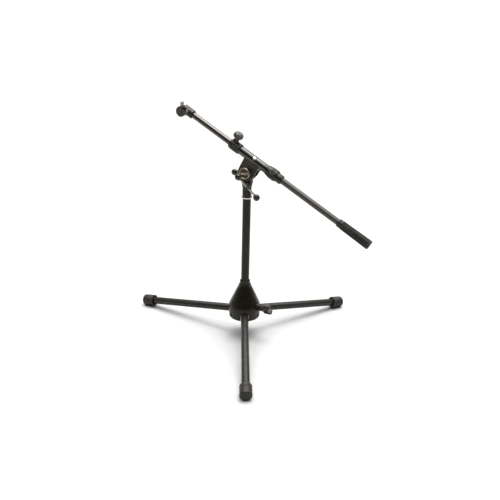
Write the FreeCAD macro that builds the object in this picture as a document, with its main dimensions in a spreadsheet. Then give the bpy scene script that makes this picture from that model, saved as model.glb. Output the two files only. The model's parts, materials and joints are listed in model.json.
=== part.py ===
import FreeCAD, Part
import math
import os
import re

import Sketcher
from FreeCAD import Placement, Rotation, Vector

# Low boom microphone stand: a tripod base with a sliding bell, a short upright, a swivel and tilt
# head, and a boom rod that slides through a tube on the head.  Millimetres, +Z up.  The origin is
# on the floor under the upright's axis, and the front leg points towards -Y.

DIMENSIONS = [
    # upright and base
    ("tube_radius", 10.0, "outside of the upright tube"),
    ("tube_wall", 1.5, "wall of the upright tube"),
    ("tube_low", 58.4, "lower end of the upright tube"),
    ("tube_top", 362.9, "upper end of the upright tube"),
    ("running_gap", 0.06, "radial gap of a shaft that turns or slides"),
    ("free_gap", 0.3, "gap between pieces that pass each other"),
    ("pin_ring_radius", 21.0, "leg hinge pins to the upright's axis"),
    ("pin_height", 63.8, "leg hinge pins above the floor"),
    ("pin_radius", 2.5, "leg hinge pin"),
    ("leg_slope", 10.0, "degrees that the legs fall outwards"),
    ("leg_radius", 9.5, "outside of a leg tube"),
    ("leg_wall", 1.4, "wall of a leg tube"),
    ("leg_start", 9.5, "leg tube begins this far from its pin"),
    ("leg_end", 291.0, "leg tube ends this far from its pin"),
    ("tongue_half", 4.0, "half the thickness of a leg's hinge tongue"),
    ("tongue_round", 7.0, "round end of the hinge tongue"),
    ("ear_thick", 3.0, "one hinge ear of the hub"),
    ("ear_round", 7.4, "round end of a hinge ear"),
    ("hub_core", 13.2, "outside of the hub's socket"),
    ("hub_low", 56.4, "underside of the hub"),
    ("hub_top", 73.5, "top of the hub's socket"),
    # rubber feet
    ("boot_radius", 14.5, "rubber foot around the leg"),
    ("boot_length", 33.0, "rubber foot along the leg"),
    ("boot_wall", 4.5, "rubber past the end of the leg tube"),
    ("boot_round", 5.0, "round rim of a foot's outer end"),
    ("boot_mouth", 11.2, "wider mouth of a foot, round the leg"),
    ("boot_mouth_deep", 4.0, "depth of that mouth"),
    # bell
    ("bell_low", 50.0, "open rim of the bell"),
    ("bell_rim_radius", 38.4, "bell at its rim"),
    ("bell_shoulder_radius", 41.0, "bell at its shoulder"),
    ("bell_shoulder", 79.6, "height of the shoulder"),
    ("bell_neck", 136.9, "height where the cone meets the neck"),
    ("bell_top", 148.0, "top of the neck"),
    ("neck_radius", 12.6, "outside of the neck"),
    ("bell_wall", 3.4, "wall of the bell"),
    ("bell_roof", 115.8, "roof of the bell's hollow"),
    ("notch_half", 9.85, "half the width of a leg notch"),
    ("notch_rise", 2.0, "top of a notch above its leg's clearance"),
    ("boss_radius", 8.5, "boss of the bell's clamp screw"),
    ("boss_end", 47.0, "end of that boss from the upright's axis"),
    ("clamp_height", 82.1, "height of the bell's clamp screw"),
    ("neck_ledge", 2.0, "ledge where the cone meets the neck"),
    ("stop_ring_height", 72.5, "underside of the ring that the legs bear on"),
    ("stop_ring_inside", 29.4, "inside of that ring"),
    ("clamp_screw_radius", 4.0, "bell's clamp screw"),
    ("wing_hub_radius", 8.0, "hub of the wing knob"),
    ("wing_span", 16.5, "tip of a wing from the knob's axis"),
    ("wing_thick", 7.4, "thickness of a wing"),
    ("wing_turn", 31.0, "degrees that the wings are turned from upright"),
    ("wing_depth", 21.0, "wing along the knob's axis"),
    ("rim_screw_height", 59.5, "screws in the bell's skirt"),
    ("rim_screw_radius", 2.0, "shank of a skirt screw"),
    ("rim_head_radius", 3.6, "head of a skirt screw"),
    # head
    ("spigot_radius", 6.0, "spigot that the head turns on"),
    ("lock_ring_radius", 13.0, "lock ring"),
    ("lock_ring_height", 2.4, "thickness of the lock ring"),
    ("head_low", 366.5, "underside of the swivel head"),
    ("head_stem_radius", 11.0, "stem of the head"),
    ("head_cone_low", 389.1, "height where the stem begins to flare"),
    ("head_cup_radius", 14.2, "flared top of the stem"),
    ("head_cup_top", 404.9, "height of the flared top"),
    ("pivot_height", 425.9, "tilt axis above the floor"),
    ("tongue_width", 17.0, "head's tongue, radius of its disc"),
    ("tongue_root", 12.2, "half the width of the tongue where it meets the flare"),
    ("tongue_thick", 6.4, "head's tongue, half its thickness"),
    ("tilt_screw_radius", 4.0, "screw on the tilt axis"),
    ("swivel_screw_height", 398.4, "height of the swivel's clamp screw"),
    ("swivel_screw_radius", 2.6, "swivel's clamp screw"),
    # cross bars of the two clamp screws
    ("bar_radius", 2.3, "cross bar of a clamp screw"),
    ("bar_half", 33.0, "centre of the bar to the centre of a ball"),
    ("ball_radius", 8.0, "ball on the end of a bar"),
    ("swivel_bar_turn", -48.5, "degrees that the swivel screw's bar leans"),
    ("swivel_bar_depth", 32.0, "that bar from the upright's axis"),
    ("tilt_bar_turn", 137.0, "degrees that the tilt screw's bar leans"),
    ("tilt_bar_depth", 26.0, "that bar from the boom's middle plane"),
    ("bar_offset", 18.2, "how far the tilt screw's bar has slid"),
    # nut on the near cheek
    ("nut_radius", 14.0, "round nut on the tilt axis"),
    ("nut_thick", 6.0, "its rim along the axis"),
    ("nut_dish_radius", 10.8, "dished part of its face"),
    ("nut_bar_half", 10.2, "half the length of the bar across its face"),
    ("nut_bar_width", 5.2, "width of that bar"),
    ("nut_bar_turn", 64.7, "degrees that the bar leans"),
    ("washer_thick", 0.8, "friction washer"),
    # bracket and boom
    ("yaw", -30.0, "degrees from +X to the boom's grip end"),
    ("pitch", 26.97, "degrees that the grip end hangs down"),
    ("boom_rise", 36.2, "boom's axis from the tilt axis"),
    ("cheek_inner", 7.5, "half the gap between the cheeks"),
    ("cheek_outer", 10.0, "half the width over the cheeks"),
    ("cheek_round", 20.4, "round lower end of a cheek"),
    ("cheek_front", 20.4, "cheek towards the microphone"),
    ("cheek_rear", 22.5, "cheek towards the grip"),
    ("cheek_rear_low", 5.0, "lowest point of the cheek's rear edge"),
    ("cheek_top", 33.5, "top of the cheeks from the tilt axis"),
    ("channel_roof", 21.8, "roof of the channel between the cheeks"),
    ("outer_radius", 10.35, "boom's outer tube"),
    ("outer_inside", 8.8, "bore of the outer tube"),
    ("outer_front", 54.0, "outer tube towards the microphone"),
    ("outer_rear", 40.0, "outer tube towards the grip"),
    ("rod_radius", 7.5, "boom rod"),
    ("rod_wall", 1.4, "wall of the boom rod"),
    ("rod_front", 202.5, "rod towards the microphone"),
    ("rod_rear", 322.0, "rod towards the grip"),
    ("front_clamp_near", 39.0, "front clamp's rear end"),
    ("front_clamp_far", 70.5, "front clamp's front end"),
    ("front_clamp_radius", 12.6, "front clamp"),
    ("front_boss_radius", 6.8, "boss under the clamp knob"),
    ("front_boss_top", 14.0, "top of that boss from the boom's axis"),
    ("knob_bottom", 14.6, "underside of the knob from the boom's axis"),
    ("knob_top", 34.6, "top of the knob"),
    ("knob_radius", 12.2, "widest part of the knob"),
    ("front_knob_place", 60.5, "clamp knob along the boom"),
    ("rear_nut_end", 69.5, "rear twist nut ends"),
    ("rear_nut_radius", 13.7, "rear twist nut, its wide end"),
    ("rear_nut_front_radius", 12.0, "rear twist nut, its narrow end"),
    ("collet_radius", 10.9, "rear collet where it shows"),
    ("collet_end", 83.5, "end of the rear collet"),
    ("grip_start", 244.9, "grip begins"),
    ("grip_end", 333.4, "grip ends"),
    ("grip_radius", 11.2, "grip at its end"),
    ("grip_front_radius", 9.7, "grip where it begins"),
    # microphone end
    ("tip_start", 215.5, "front face of the tip clamp"),
    ("tip_end", 186.5, "rear face of the tip clamp"),
    ("tip_radius", 10.8, "tip clamp"),
    ("tip_screw_place", 200.0, "screw of the tip clamp along the boom"),
    ("knuckle_place", 216.9, "knuckle along the boom"),
    ("knuckle_rise", 27.2, "knuckle from the tilt axis"),
    ("knuckle_radius", 12.3, "knuckle"),
    ("lug_inner", 5.4, "half the gap between the knuckle lugs"),
    ("lug_outer", 8.6, "half the width over the lugs"),
    ("bolt_head_radius", 4.4, "heads of the knuckle's bolt"),
    ("stud_radius", 4.76, "microphone thread, three eighths of an inch"),
    ("stud_height", 22.5, "top of the microphone thread over the knuckle"),
    ("stud_length", 9.7, "threaded length of the stud"),
]

doc = FreeCAD.newDocument("boom_microphone_stand")
sheet = doc.addObject("Spreadsheet::Sheet", "dims")
for row, (alias, number, meaning) in enumerate(DIMENSIONS, start=1):
    sheet.set("A%d" % row, str(number))
    sheet.setAlias("A%d" % row, alias)
    sheet.set("B%d" % row, meaning)
doc.recompute()

nodes = []
FUNCTIONS = ("sin", "cos", "deg")


def size(alias):
    """The number in the sheet's cell with this alias."""
    return float(sheet.get(alias))


def bound(text):
    """An expression on the sheet's cells, from one written with bare aliases."""
    def cell(match):
        word = match.group()
        return word if word in FUNCTIONS else "dims." + word
    return re.sub(r"[a-z][a-z_]+", cell, str(text))


def keep(piece, label, place=None):
    """Name a finished sub-part, put it in its place and list it for export."""
    piece.Label = label
    if place is not None:
        piece.Placement = place
    nodes.append(piece)
    return piece


# ---------------------------------------------------------------- sketches and turned pieces

def origin_plane(body, role):
    for feature in body.Origin.OriginFeatures:
        if feature.Role == role:
            return feature
    raise RuntimeError("no origin plane " + role)


def outline_sketch(body, role, points):
    """A closed outline of straight lines, each corner held by two bound distances."""
    sketch = body.newObject("Sketcher::SketchObject", "outline")
    sketch.AttachmentSupport = [(origin_plane(body, role), "")]
    sketch.MapMode = "FlatFace"
    count = len(points)
    corners = []
    for index in range(count):
        turn = 2.0 * math.pi * index / count
        corners.append(Vector(20.0 + 10.0 * math.cos(turn), 20.0 + 10.0 * math.sin(turn), 0))
    for index in range(count):
        sketch.addGeometry(Part.LineSegment(corners[index], corners[(index + 1) % count]), False)
    for index in range(count):
        sketch.addConstraint(Sketcher.Constraint("Coincident", index, 2, (index + 1) % count, 1))
    for index, point in enumerate(points):
        for kind, value, start, axis in (("DistanceX", point[0], corners[index].x, -2),
                                         ("DistanceY", point[1], corners[index].y, -1)):
            if value == 0:
                sketch.addConstraint(Sketcher.Constraint("PointOnObject", index, 1, axis))
                continue
            number = sketch.addConstraint(Sketcher.Constraint(kind, -1, 1, index, 1, start))
            sketch.setExpression("Constraints[%d]" % number, bound(value))
    return sketch


def circle_sketch(body, role, x, y, radius):
    """A circle whose centre and radius are bound."""
    sketch = body.newObject("Sketcher::SketchObject", "circle")
    sketch.AttachmentSupport = [(origin_plane(body, role), "")]
    sketch.MapMode = "FlatFace"
    sketch.addGeometry(Part.Circle(Vector(5, 5, 0), Vector(0, 0, 1), 2.0), False)
    number = sketch.addConstraint(Sketcher.Constraint("Radius", 0, 2.0))
    sketch.setExpression("Constraints[%d]" % number, bound(radius))
    for kind, value, axis in (("DistanceX", x, -2), ("DistanceY", y, -1)):
        if value == 0:
            sketch.addConstraint(Sketcher.Constraint("PointOnObject", 0, 3, axis))
            continue
        number = sketch.addConstraint(Sketcher.Constraint(kind, -1, 1, 0, 3, 5.0))
        sketch.setExpression("Constraints[%d]" % number, bound(value))
    return sketch


def turned(label, points):
    """A lathe-turned body: the outline of (radius, height) corners turned about Z."""
    body = doc.addObject("PartDesign::Body", label)
    sketch = outline_sketch(body, "XZ_Plane", points)
    turn = body.newObject("PartDesign::Revolution", "turn")
    turn.Profile = sketch
    turn.ReferenceAxis = (sketch, ["V_Axis"])
    turn.Angle = 360.0
    sketch.Visibility = False
    return body


def round_rims(body, rims, amount):
    """Fillet the circular edges of a turned body at the given (radius, height) pairs."""
    doc.recompute()
    tip = body.Tip
    names = []
    for index, edge in enumerate(tip.Shape.Edges, start=1):
        if not isinstance(edge.Curve, Part.Circle):
            continue
        for radius, height in rims:
            if abs(edge.Curve.Radius - radius) < 0.01 and abs(edge.Curve.Center.z - height) < 0.01:
                names.append("Edge%d" % index)
    if len(names) != len(rims):
        raise RuntimeError("%s: %d of %d rims found" % (body.Label, len(names), len(rims)))
    fillet = body.newObject("PartDesign::Fillet", "round")
    fillet.Base = (tip, names)
    fillet.Radius = amount
    return body


def tube(label, outer, inner, low, high, place=None):
    return keep(turned(label, [(inner, low), (outer, low), (outer, high), (inner, high)]),
                label, place)


def pad(body, sketch, length, both=True):
    feature = body.newObject("PartDesign::Pad", "pad")
    feature.Profile = sketch
    feature.setExpression("Length", bound(length))
    feature.Midplane = both
    sketch.Visibility = False
    return feature


def flutes(body, count, ring, radius, low, high):
    """Cut a ring of equal round grooves along a turned body: one pocket, then its pattern."""
    doc.recompute()
    before = body.Tip.Shape.Volume
    sketch = circle_sketch(body, "XY_Plane", ring, 0, radius)
    sketch.setExpression("AttachmentOffset.Base.z", bound(high))
    groove = body.newObject("PartDesign::Pocket", "flute")
    groove.Profile = sketch
    groove.setExpression("Length", bound("(%s) - (%s)" % (high, low)))
    sketch.Visibility = False
    pattern = body.newObject("PartDesign::PolarPattern", "flute_ring")
    pattern.Originals = [groove]
    pattern.Axis = (sketch, ["N_Axis"])
    pattern.Angle = 360.0
    pattern.Occurrences = count
    body.Tip = pattern
    doc.recompute()
    if body.Shape.Volume > before - 1.0:
        raise RuntimeError(body.Label + ": the flutes cut nothing")
    return body


# ---------------------------------------------------------------- primitives and booleans

def cylinder(radius, length, place=None):
    item = doc.addObject("Part::Cylinder", "cylinder")
    item.setExpression("Radius", bound(radius))
    item.setExpression("Height", bound(length))
    if place is not None:
        item.Placement = place
    return item


def block(length, width, height, place=None):
    item = doc.addObject("Part::Box", "block")
    item.setExpression("Length", bound(length))
    item.setExpression("Width", bound(width))
    item.setExpression("Height", bound(height))
    if place is not None:
        item.Placement = place
    return item


def ball(radius, place):
    item = doc.addObject("Part::Sphere", "ball")
    item.setExpression("Radius", bound(radius))
    item.Placement = place
    return item


def fused(parts):
    item = doc.addObject("Part::MultiFuse", "joined")
    item.Shapes = parts
    item.Refine = True
    return item


def cut(base, tools):
    item = doc.addObject("Part::Cut", "cut")
    item.Base = base
    item.Tool = tools[0] if len(tools) == 1 else fused(tools)
    item.Refine = True
    return item


def group(parts):
    """Several equal pieces in one node, as separate solids."""
    item = doc.addObject("Part::Compound", "group")
    item.Links = parts
    return item


# ---------------------------------------------------------------- frames of reference

def at(x, y, z, rotation=None):
    return Placement(Vector(x, y, z), rotation or Rotation())


def about(axis, degrees):
    return Rotation(axis, degrees)


X = Vector(1, 0, 0)
Y = Vector(0, 1, 0)
Z = Vector(0, 0, 1)
LEGS = (("front", -90.0), ("right", 30.0), ("left", 150.0))
BETWEEN_LEGS = (-30.0, 90.0, -150.0)
CLAMP_AZIMUTH = -30.0
ALONG_X = about(Y, 90)
AWAY = about(X, -90)


def azimuth_frame(azimuth, radius, height):
    """X points outwards at this azimuth, from a point at this radius and height."""
    turn = about(Z, azimuth)
    return Placement(turn.multVec(Vector(radius, 0, 0)) + Vector(0, 0, height), turn)


def leg_frame(azimuth):
    """At a leg's hinge pin, with X along the leg."""
    return azimuth_frame(azimuth, size("pin_ring_radius"), size("pin_height")) * at(
        0, 0, 0, about(Y, size("leg_slope")))


def pivot_frame():
    """At the tilt axis: X along the boom to the grip, Y along the tilt axis, away from the nut."""
    return Placement(Vector(0, 0, size("pivot_height")),
                     about(Z, size("yaw")) * about(Y, size("pitch")))


def head_frame():
    """At the tilt axis but level: the head doesn't tilt with the boom."""
    return Placement(Vector(0, 0, size("pivot_height")), about(Z, size("yaw")))


def boom_frame(along):
    """On the boom's axis, with Z along the boom to the grip."""
    return pivot_frame() * at(along, 0, size("boom_rise"), ALONG_X)


# ---------------------------------------------------------------- upright and hub

def make_upright():
    tube("upright_tube", "tube_radius", "tube_radius - tube_wall", "tube_low", "tube_top")
    inside = "tube_radius - tube_wall"
    keep(turned("tube_bottom_plug", [("pin_radius + 0.6", "tube_low"), (inside, "tube_low"),
                                     (inside, "tube_low + 18"), ("pin_radius + 0.6", "tube_low + 18")]),
         "tube_bottom_plug")
    spigot = turned("swivel_spigot", [
        (0, "tube_top - 26"), ("tube_radius - tube_wall - 1", "tube_top - 26"),
        (inside, "tube_top - 25"), (inside, "tube_top"), ("spigot_radius", "tube_top"),
        ("spigot_radius", "swivel_screw_height - 3.2"), ("spigot_radius - 1", "swivel_screw_height - 3.2"),
        ("spigot_radius - 1", "swivel_screw_height + 3.2"), ("spigot_radius", "swivel_screw_height + 3.2"),
        ("spigot_radius", "swivel_screw_height + 5"), ("spigot_radius - 0.8", "swivel_screw_height + 5.8"),
        (0, "swivel_screw_height + 5.8")])
    keep(spigot, "swivel_spigot")
    ring_top = "tube_top + lock_ring_height"
    keep(turned("lock_ring", [
        ("spigot_radius", "tube_top"), ("lock_ring_radius - 0.6", "tube_top"),
        ("lock_ring_radius", "tube_top + 0.6"), ("lock_ring_radius", "tube_top + lock_ring_height - 0.6"),
        ("lock_ring_radius - 0.6", ring_top), ("spigot_radius", ring_top)]), "lock_ring")


def hinge_ears(azimuth):
    """Two ears for one leg's pin, and the web that joins them to the hub's socket."""
    ears = []
    for side in (-1, 1):
        low = size("tongue_half") + size("free_gap")
        start = low if side > 0 else -low - size("ear_thick")
        place = azimuth_frame(azimuth, size("pin_ring_radius"), size("pin_height"))
        ears.append(cylinder("ear_round", "ear_thick", place * at(0, start + size("ear_thick"), 0,
                                                                  about(X, 90))))
        ears.append(block("pin_ring_radius - hub_core + 3", "ear_thick", "2 * ear_round",
                          place * at(size("hub_core") - 3 - size("pin_ring_radius"), start,
                                     -size("ear_round"))))
    return ears


def pin_rod(azimuth, radius, half):
    place = azimuth_frame(azimuth, size("pin_ring_radius"), size("pin_height"))
    return cylinder(radius, "2 * (%s)" % half, place * at(0, size("tongue_half") + size("free_gap")
                                                          + size("ear_thick") + 0.6, 0, about(X, 90)))


def make_hub():
    socket = cylinder("hub_core", "hub_top - hub_low", at(0, 0, size("hub_low")))
    ears = []
    holes = [cylinder("tube_radius", "hub_top - tube_low + 1", at(0, 0, size("tube_low"))),
             cylinder("pin_radius + 0.6", "10", at(0, 0, size("hub_low") - 4))]
    pins = []
    half = "tongue_half + free_gap + ear_thick + 0.6"
    for _, azimuth in LEGS:
        ears += hinge_ears(azimuth)
        holes.append(pin_rod(azimuth, "pin_radius", half))
        pins.append(pin_rod(azimuth, "pin_radius", half))
    keep(cut(fused([socket] + ears), holes), "leg_hub")
    keep(group(pins), "leg_hinge_pins")
    bolt = turned("hub_bolt", [
        (0, "hub_low - 4.6"), ("4.2", "hub_low - 4.6"), ("5.2", "hub_low - 3.8"), ("5.2", "hub_low"),
        ("pin_radius + 0.6", "hub_low"), ("pin_radius + 0.6", "hub_low + 17"), (0, "hub_low + 17")])
    keep(bolt, "hub_bolt")


# ---------------------------------------------------------------- legs and feet

def make_leg(name, azimuth):
    frame = leg_frame(azimuth)
    tube("%s_leg_tube" % name, "leg_radius", "leg_radius - leg_wall", "leg_start", "leg_end",
         frame * at(0, 0, 0, ALONG_X))
    plug = cylinder("leg_radius - leg_wall", "20", at(size("leg_start"), 0, 0, ALONG_X))
    cap = cylinder("leg_radius - 0.3", "1.4", at(size("leg_start") - 1.4, 0, 0, ALONG_X))
    tongue = block("leg_start + 4", "2 * tongue_half", "2 * tongue_round",
                   at(0, -size("tongue_half"), -size("tongue_round")))
    tip = cylinder("tongue_round", "2 * tongue_half", at(0, size("tongue_half"), 0, about(X, 90)))
    hole = cylinder("pin_radius + running_gap", "4 * tongue_half",
                    at(0, 2 * size("tongue_half"), 0, about(X, 90)))
    keep(cut(fused([plug, cap, tongue, tip]), [hole]), "%s_leg_root" % name, frame)
    make_foot(name, azimuth)


def make_foot(name, azimuth):
    """A round rubber boot over the leg's end, with a small flat where it rests on the floor."""
    start = size("leg_end") + size("boot_wall") - size("boot_length")
    boot = turned("%s_boot" % name, [
        ("boot_mouth", "0"), ("boot_radius - 0.8", "0"), ("boot_radius", "0.8"),
        ("boot_radius", "boot_length"), (0, "boot_length"), (0, "boot_length - boot_wall"),
        ("leg_radius", "boot_length - boot_wall"), ("leg_radius", "boot_mouth_deep"),
        ("boot_mouth", "boot_mouth_deep")])
    round_rims(boot, [(size("boot_radius"), size("boot_length"))], size("boot_round"))
    boot.Placement = leg_frame(azimuth) * at(start, 0, 0, ALONG_X)
    under = azimuth_frame(azimuth, size("pin_ring_radius") + start, -20)
    floor = block("2 * boot_length", "4 * boot_radius", "20", under * at(0, -2 * size("boot_radius"), 0))
    keep(cut(boot, [floor]), "%s_rubber_foot" % name)


# ---------------------------------------------------------------- bell and its clamp

def make_bell():
    body = turned("bell_shell", [
        ("bell_rim_radius - bell_wall", "bell_low"), ("bell_rim_radius - 1", "bell_low"),
        ("bell_rim_radius", "bell_low + 1"), ("bell_shoulder_radius", "bell_shoulder"),
        ("neck_radius + neck_ledge", "bell_neck"), ("neck_radius + neck_ledge", "bell_neck + 1"),
        ("neck_radius", "bell_neck + 1"), ("neck_radius", "bell_top - 0.8"),
        ("neck_radius - 0.8", "bell_top"), ("tube_radius + running_gap", "bell_top"),
        ("tube_radius + running_gap", "bell_roof"), ("hub_core + 1.3", "bell_roof"),
        ("bell_shoulder_radius - bell_wall", "bell_shoulder - 2")])
    round_rims(body, [(size("bell_shoulder_radius"), size("bell_shoulder"))], 9.0)
    clamp = azimuth_frame(CLAMP_AZIMUTH, 0, size("clamp_height"))
    boss = cylinder("boss_radius", "boss_end - 26", clamp * at(26, 0, 0, ALONG_X))
    holes = [cylinder("clamp_screw_radius + running_gap", "60", clamp * at(8, 0, 0, ALONG_X))]
    for _, azimuth in LEGS:
        place = leg_frame(azimuth)
        arch = place * at(size("leg_start") - 2, 0, size("notch_rise"), ALONG_X)
        holes.append(cylinder("notch_half", "60", arch))
        level = azimuth_frame(azimuth, 25, size("bell_low") - 5)
        drop = place.multVec(Vector(18, 0, size("notch_rise"))).z - size("bell_low") + 5
        holes.append(block("20", "2 * notch_half", str(drop), level * at(0, -size("notch_half"), 0)))
    for azimuth in BETWEEN_LEGS:
        place = azimuth_frame(azimuth, 20, size("rim_screw_height"))
        holes.append(cylinder("rim_screw_radius", "30", place * at(0, 0, 0, ALONG_X)))
        holes.append(cylinder("rim_head_radius", "20",
                              place * at(size("bell_rim_radius") - 21.3, 0, 0, ALONG_X)))
    keep(cut(fused([body, boss]), holes), "bell_housing")


def make_stop_ring():
    """A steel ring in the bell that the opened legs bear on, held by three skirt screws."""
    inside = "bell_shoulder_radius - bell_wall - 0.9"
    skirt = size("bell_rim_radius") - size("bell_wall")
    ring = cylinder(inside, "3.2", at(0, 0, size("stop_ring_height")))
    lugs = []
    clamp = azimuth_frame(CLAMP_AZIMUTH, 20, size("clamp_height"))
    holes = [cylinder("stop_ring_inside", "60", at(0, 0, size("bell_low"))),
             cylinder("boss_radius + free_gap", "20", clamp * at(0, 0, 0, ALONG_X))]
    for azimuth in BETWEEN_LEGS:
        place = azimuth_frame(azimuth, 28, size("stop_ring_height") - 19)
        lugs.append(block(str(skirt - 29.2), "13", "20", place * at(0, -6.5, 0)))
        hole = azimuth_frame(azimuth, 20, size("rim_screw_height"))
        holes.append(cylinder("rim_screw_radius", "30", hole * at(0, 0, 0, ALONG_X)))
    keep(cut(fused([ring] + lugs), holes), "leg_stop_ring")
    screws = []
    for azimuth in BETWEEN_LEGS:
        place = azimuth_frame(azimuth, 0, size("rim_screw_height"))
        shank = cylinder("rim_screw_radius", "bell_rim_radius - 29.9", place * at(28.6, 0, 0, ALONG_X))
        head = cylinder("rim_head_radius - 0.25", "1.2",
                        place * at(size("bell_rim_radius") - 1.3, 0, 0, ALONG_X))
        socket = cylinder("1.5", "3", place * at(size("bell_rim_radius") - 0.9, 0, 0, ALONG_X))
        screws.append(cut(fused([shank, head]), [socket]))
    keep(group(screws), "skirt_screws")


def make_wing_knob():
    frame = azimuth_frame(CLAMP_AZIMUTH, 0, size("clamp_height")) * at(0, 0, 0, ALONG_X)
    screw = turned("bell_clamp_screw", [
        (0, "tube_radius + 0.35"), ("clamp_screw_radius - 0.8", "tube_radius + 0.35"),
        ("clamp_screw_radius", "tube_radius + 1.2"), ("clamp_screw_radius", "boss_end + 16"),
        (0, "boss_end + 16")])
    keep(screw, "bell_clamp_screw", frame)
    start = size("boss_end") + 0.6
    hub = cylinder("wing_hub_radius", "14", at(0, 0, start))
    dome = ball("wing_hub_radius", at(0, 0, start + 14))
    wings = []
    for side in (0, 180):
        turn = about(Z, side)
        wing = block("wing_span - wing_thick / 2", "wing_thick", "wing_depth",
                     Placement(Vector(0, 0, 0), turn) * at(0, -size("wing_thick") / 2, start + 7))
        tip = cylinder("wing_thick / 2", "wing_depth", Placement(Vector(0, 0, 0), turn)
                       * at(size("wing_span") - size("wing_thick") / 2, 0, start + 7))
        wings += [wing, tip]
    gap = ball("wing_hub_radius + 1.5", at(0, 0, start + 28))
    hole = cylinder("clamp_screw_radius", "30", at(0, 0, start - 13.6))
    body = cut(fused([hub, dome] + wings), [gap, hole])
    keep(body, "bell_wing_knob", frame * at(0, 0, 0, about(Z, size("wing_turn"))))


# ---------------------------------------------------------------- head

def make_head():
    keep(turned("thrust_washer", [
        ("spigot_radius + running_gap", "tube_top + lock_ring_height + 0.15"),
        ("head_stem_radius - 0.2", "tube_top + lock_ring_height + 0.15"),
        ("head_stem_radius - 0.2", "head_low"), ("spigot_radius + running_gap", "head_low")]),
        "thrust_washer")
    stem = turned("head_stem", [
        (0, "head_low"), ("head_stem_radius - 0.6", "head_low"), ("head_stem_radius", "head_low + 0.6"),
        ("head_stem_radius", "head_cone_low"), ("head_cup_radius", "head_cup_top - 0.8"),
        ("head_cup_radius - 0.8", "head_cup_top"), (0, "head_cup_top")])
    round_rims(stem, [(size("head_stem_radius"), size("head_cone_low"))], 12.0)
    level = head_frame()
    tongue = block("2 * tongue_root", "2 * tongue_thick", "pivot_height - head_cup_top + 2",
                   level * at(-size("tongue_root"), -size("tongue_thick"),
                              size("head_cup_top") - 2 - size("pivot_height")))
    top = cylinder("tongue_width", "2 * tongue_thick",
                   level * at(0, size("tongue_thick"), 0, about(X, 90)))
    boss = cylinder("6.5", "13", at(0, 0, size("swivel_screw_height")) * at(0, -5, 0, about(X, 90)))
    bore = cylinder("spigot_radius + running_gap", "swivel_screw_height + 6.4 - head_low + 1",
                    at(0, 0, size("head_low") - 1))
    tilt = cylinder("tilt_screw_radius + running_gap", "60", level * at(0, 30, 0, about(X, 90)))
    side = cylinder("swivel_screw_radius + running_gap", "30",
                    at(0, 0, size("swivel_screw_height"), about(X, 90)))
    keep(cut(fused([stem, tongue, top, boss]), [bore, tilt, side]), "swivel_head")


def cross_bar(name, frame, offset):
    """A bar that slides in a screw's cross hole, with a ball on each end.  X along the bar."""
    place = frame * at(offset, 0, 0)
    bar = cylinder("bar_radius", "2 * bar_half", place * at(-size("bar_half"), 0, 0, ALONG_X))
    keep(bar, name + "_bar")
    balls = []
    for turn in (0, 180):
        arm = place * at(0, 0, 0, about(Z, turn))
        shell = ball("ball_radius", arm * at(size("bar_half"), 0, 0))
        hole = cylinder("bar_radius", "bar_half", arm * at(0, 0, 0, ALONG_X))
        balls.append(cut(shell, [hole]))
    return balls


def make_swivel_clamp():
    """The clamp screw of the head's swivel, with its bar across the front."""
    frame = at(0, 0, size("swivel_screw_height"), about(X, 90))
    body = turned("swivel_clamp_screw_blank", [
        (0, "spigot_radius - 0.7"), ("swivel_screw_radius - 0.5", "spigot_radius - 0.7"),
        ("swivel_screw_radius", "spigot_radius - 0.2"), ("swivel_screw_radius", "18.6"),
        ("5.8", "18.6"), ("5.8", "20"), ("4.4", "21.2"), ("4.4", "swivel_bar_depth + 4.2"),
        ("3.7", "swivel_bar_depth + 5"), (0, "swivel_bar_depth + 5")])
    local = at(0, 0, size("swivel_bar_depth"), about(Z, size("swivel_bar_turn")))
    bar_place = frame * local
    hole = cylinder("bar_radius + running_gap", "20", local * at(-10, 0, 0, ALONG_X))
    keep(cut(body, [hole]), "swivel_clamp_screw", frame)
    keep(group(cross_bar("swivel_clamp", bar_place, 0.0)), "swivel_clamp_balls")


def make_tilt_clamp():
    """The screw through the tilt axis, with its cross bar on the far side."""
    frame = pivot_frame() * at(0, 0, 0, AWAY)
    body = turned("tilt_clamp_screw_blank", [
        (0, 0), ("tilt_screw_radius", 0), ("tilt_screw_radius", "2 * cheek_outer + 4.7"),
        ("8.2", "2 * cheek_outer + 4.7"), ("8.2", "2 * cheek_outer + 6.4"),
        ("6", "2 * cheek_outer + 7.6"), ("6", "2 * cheek_outer + 23"),
        ("5.2", "2 * cheek_outer + 23.8"), (0, "2 * cheek_outer + 23.8")])
    back = -size("cheek_outer") - 3.0
    bar_depth = size("tilt_bar_depth") - back
    angle = about(Z, size("tilt_bar_turn"))
    hole = cylinder("bar_radius + running_gap", "24",
                    at(0, 0, bar_depth, angle) * at(-12, 0, 0, ALONG_X))
    keep(cut(body, [hole]), "tilt_clamp_screw", frame * at(0, 0, back))
    bar_place = frame * at(0, 0, size("tilt_bar_depth"), angle)
    keep(group(cross_bar("tilt_clamp", bar_place, size("bar_offset"))), "tilt_clamp_balls")
    tube("tilt_washer", "9", "tilt_screw_radius + running_gap", "cheek_outer", "cheek_outer + 1.4", frame)


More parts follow.
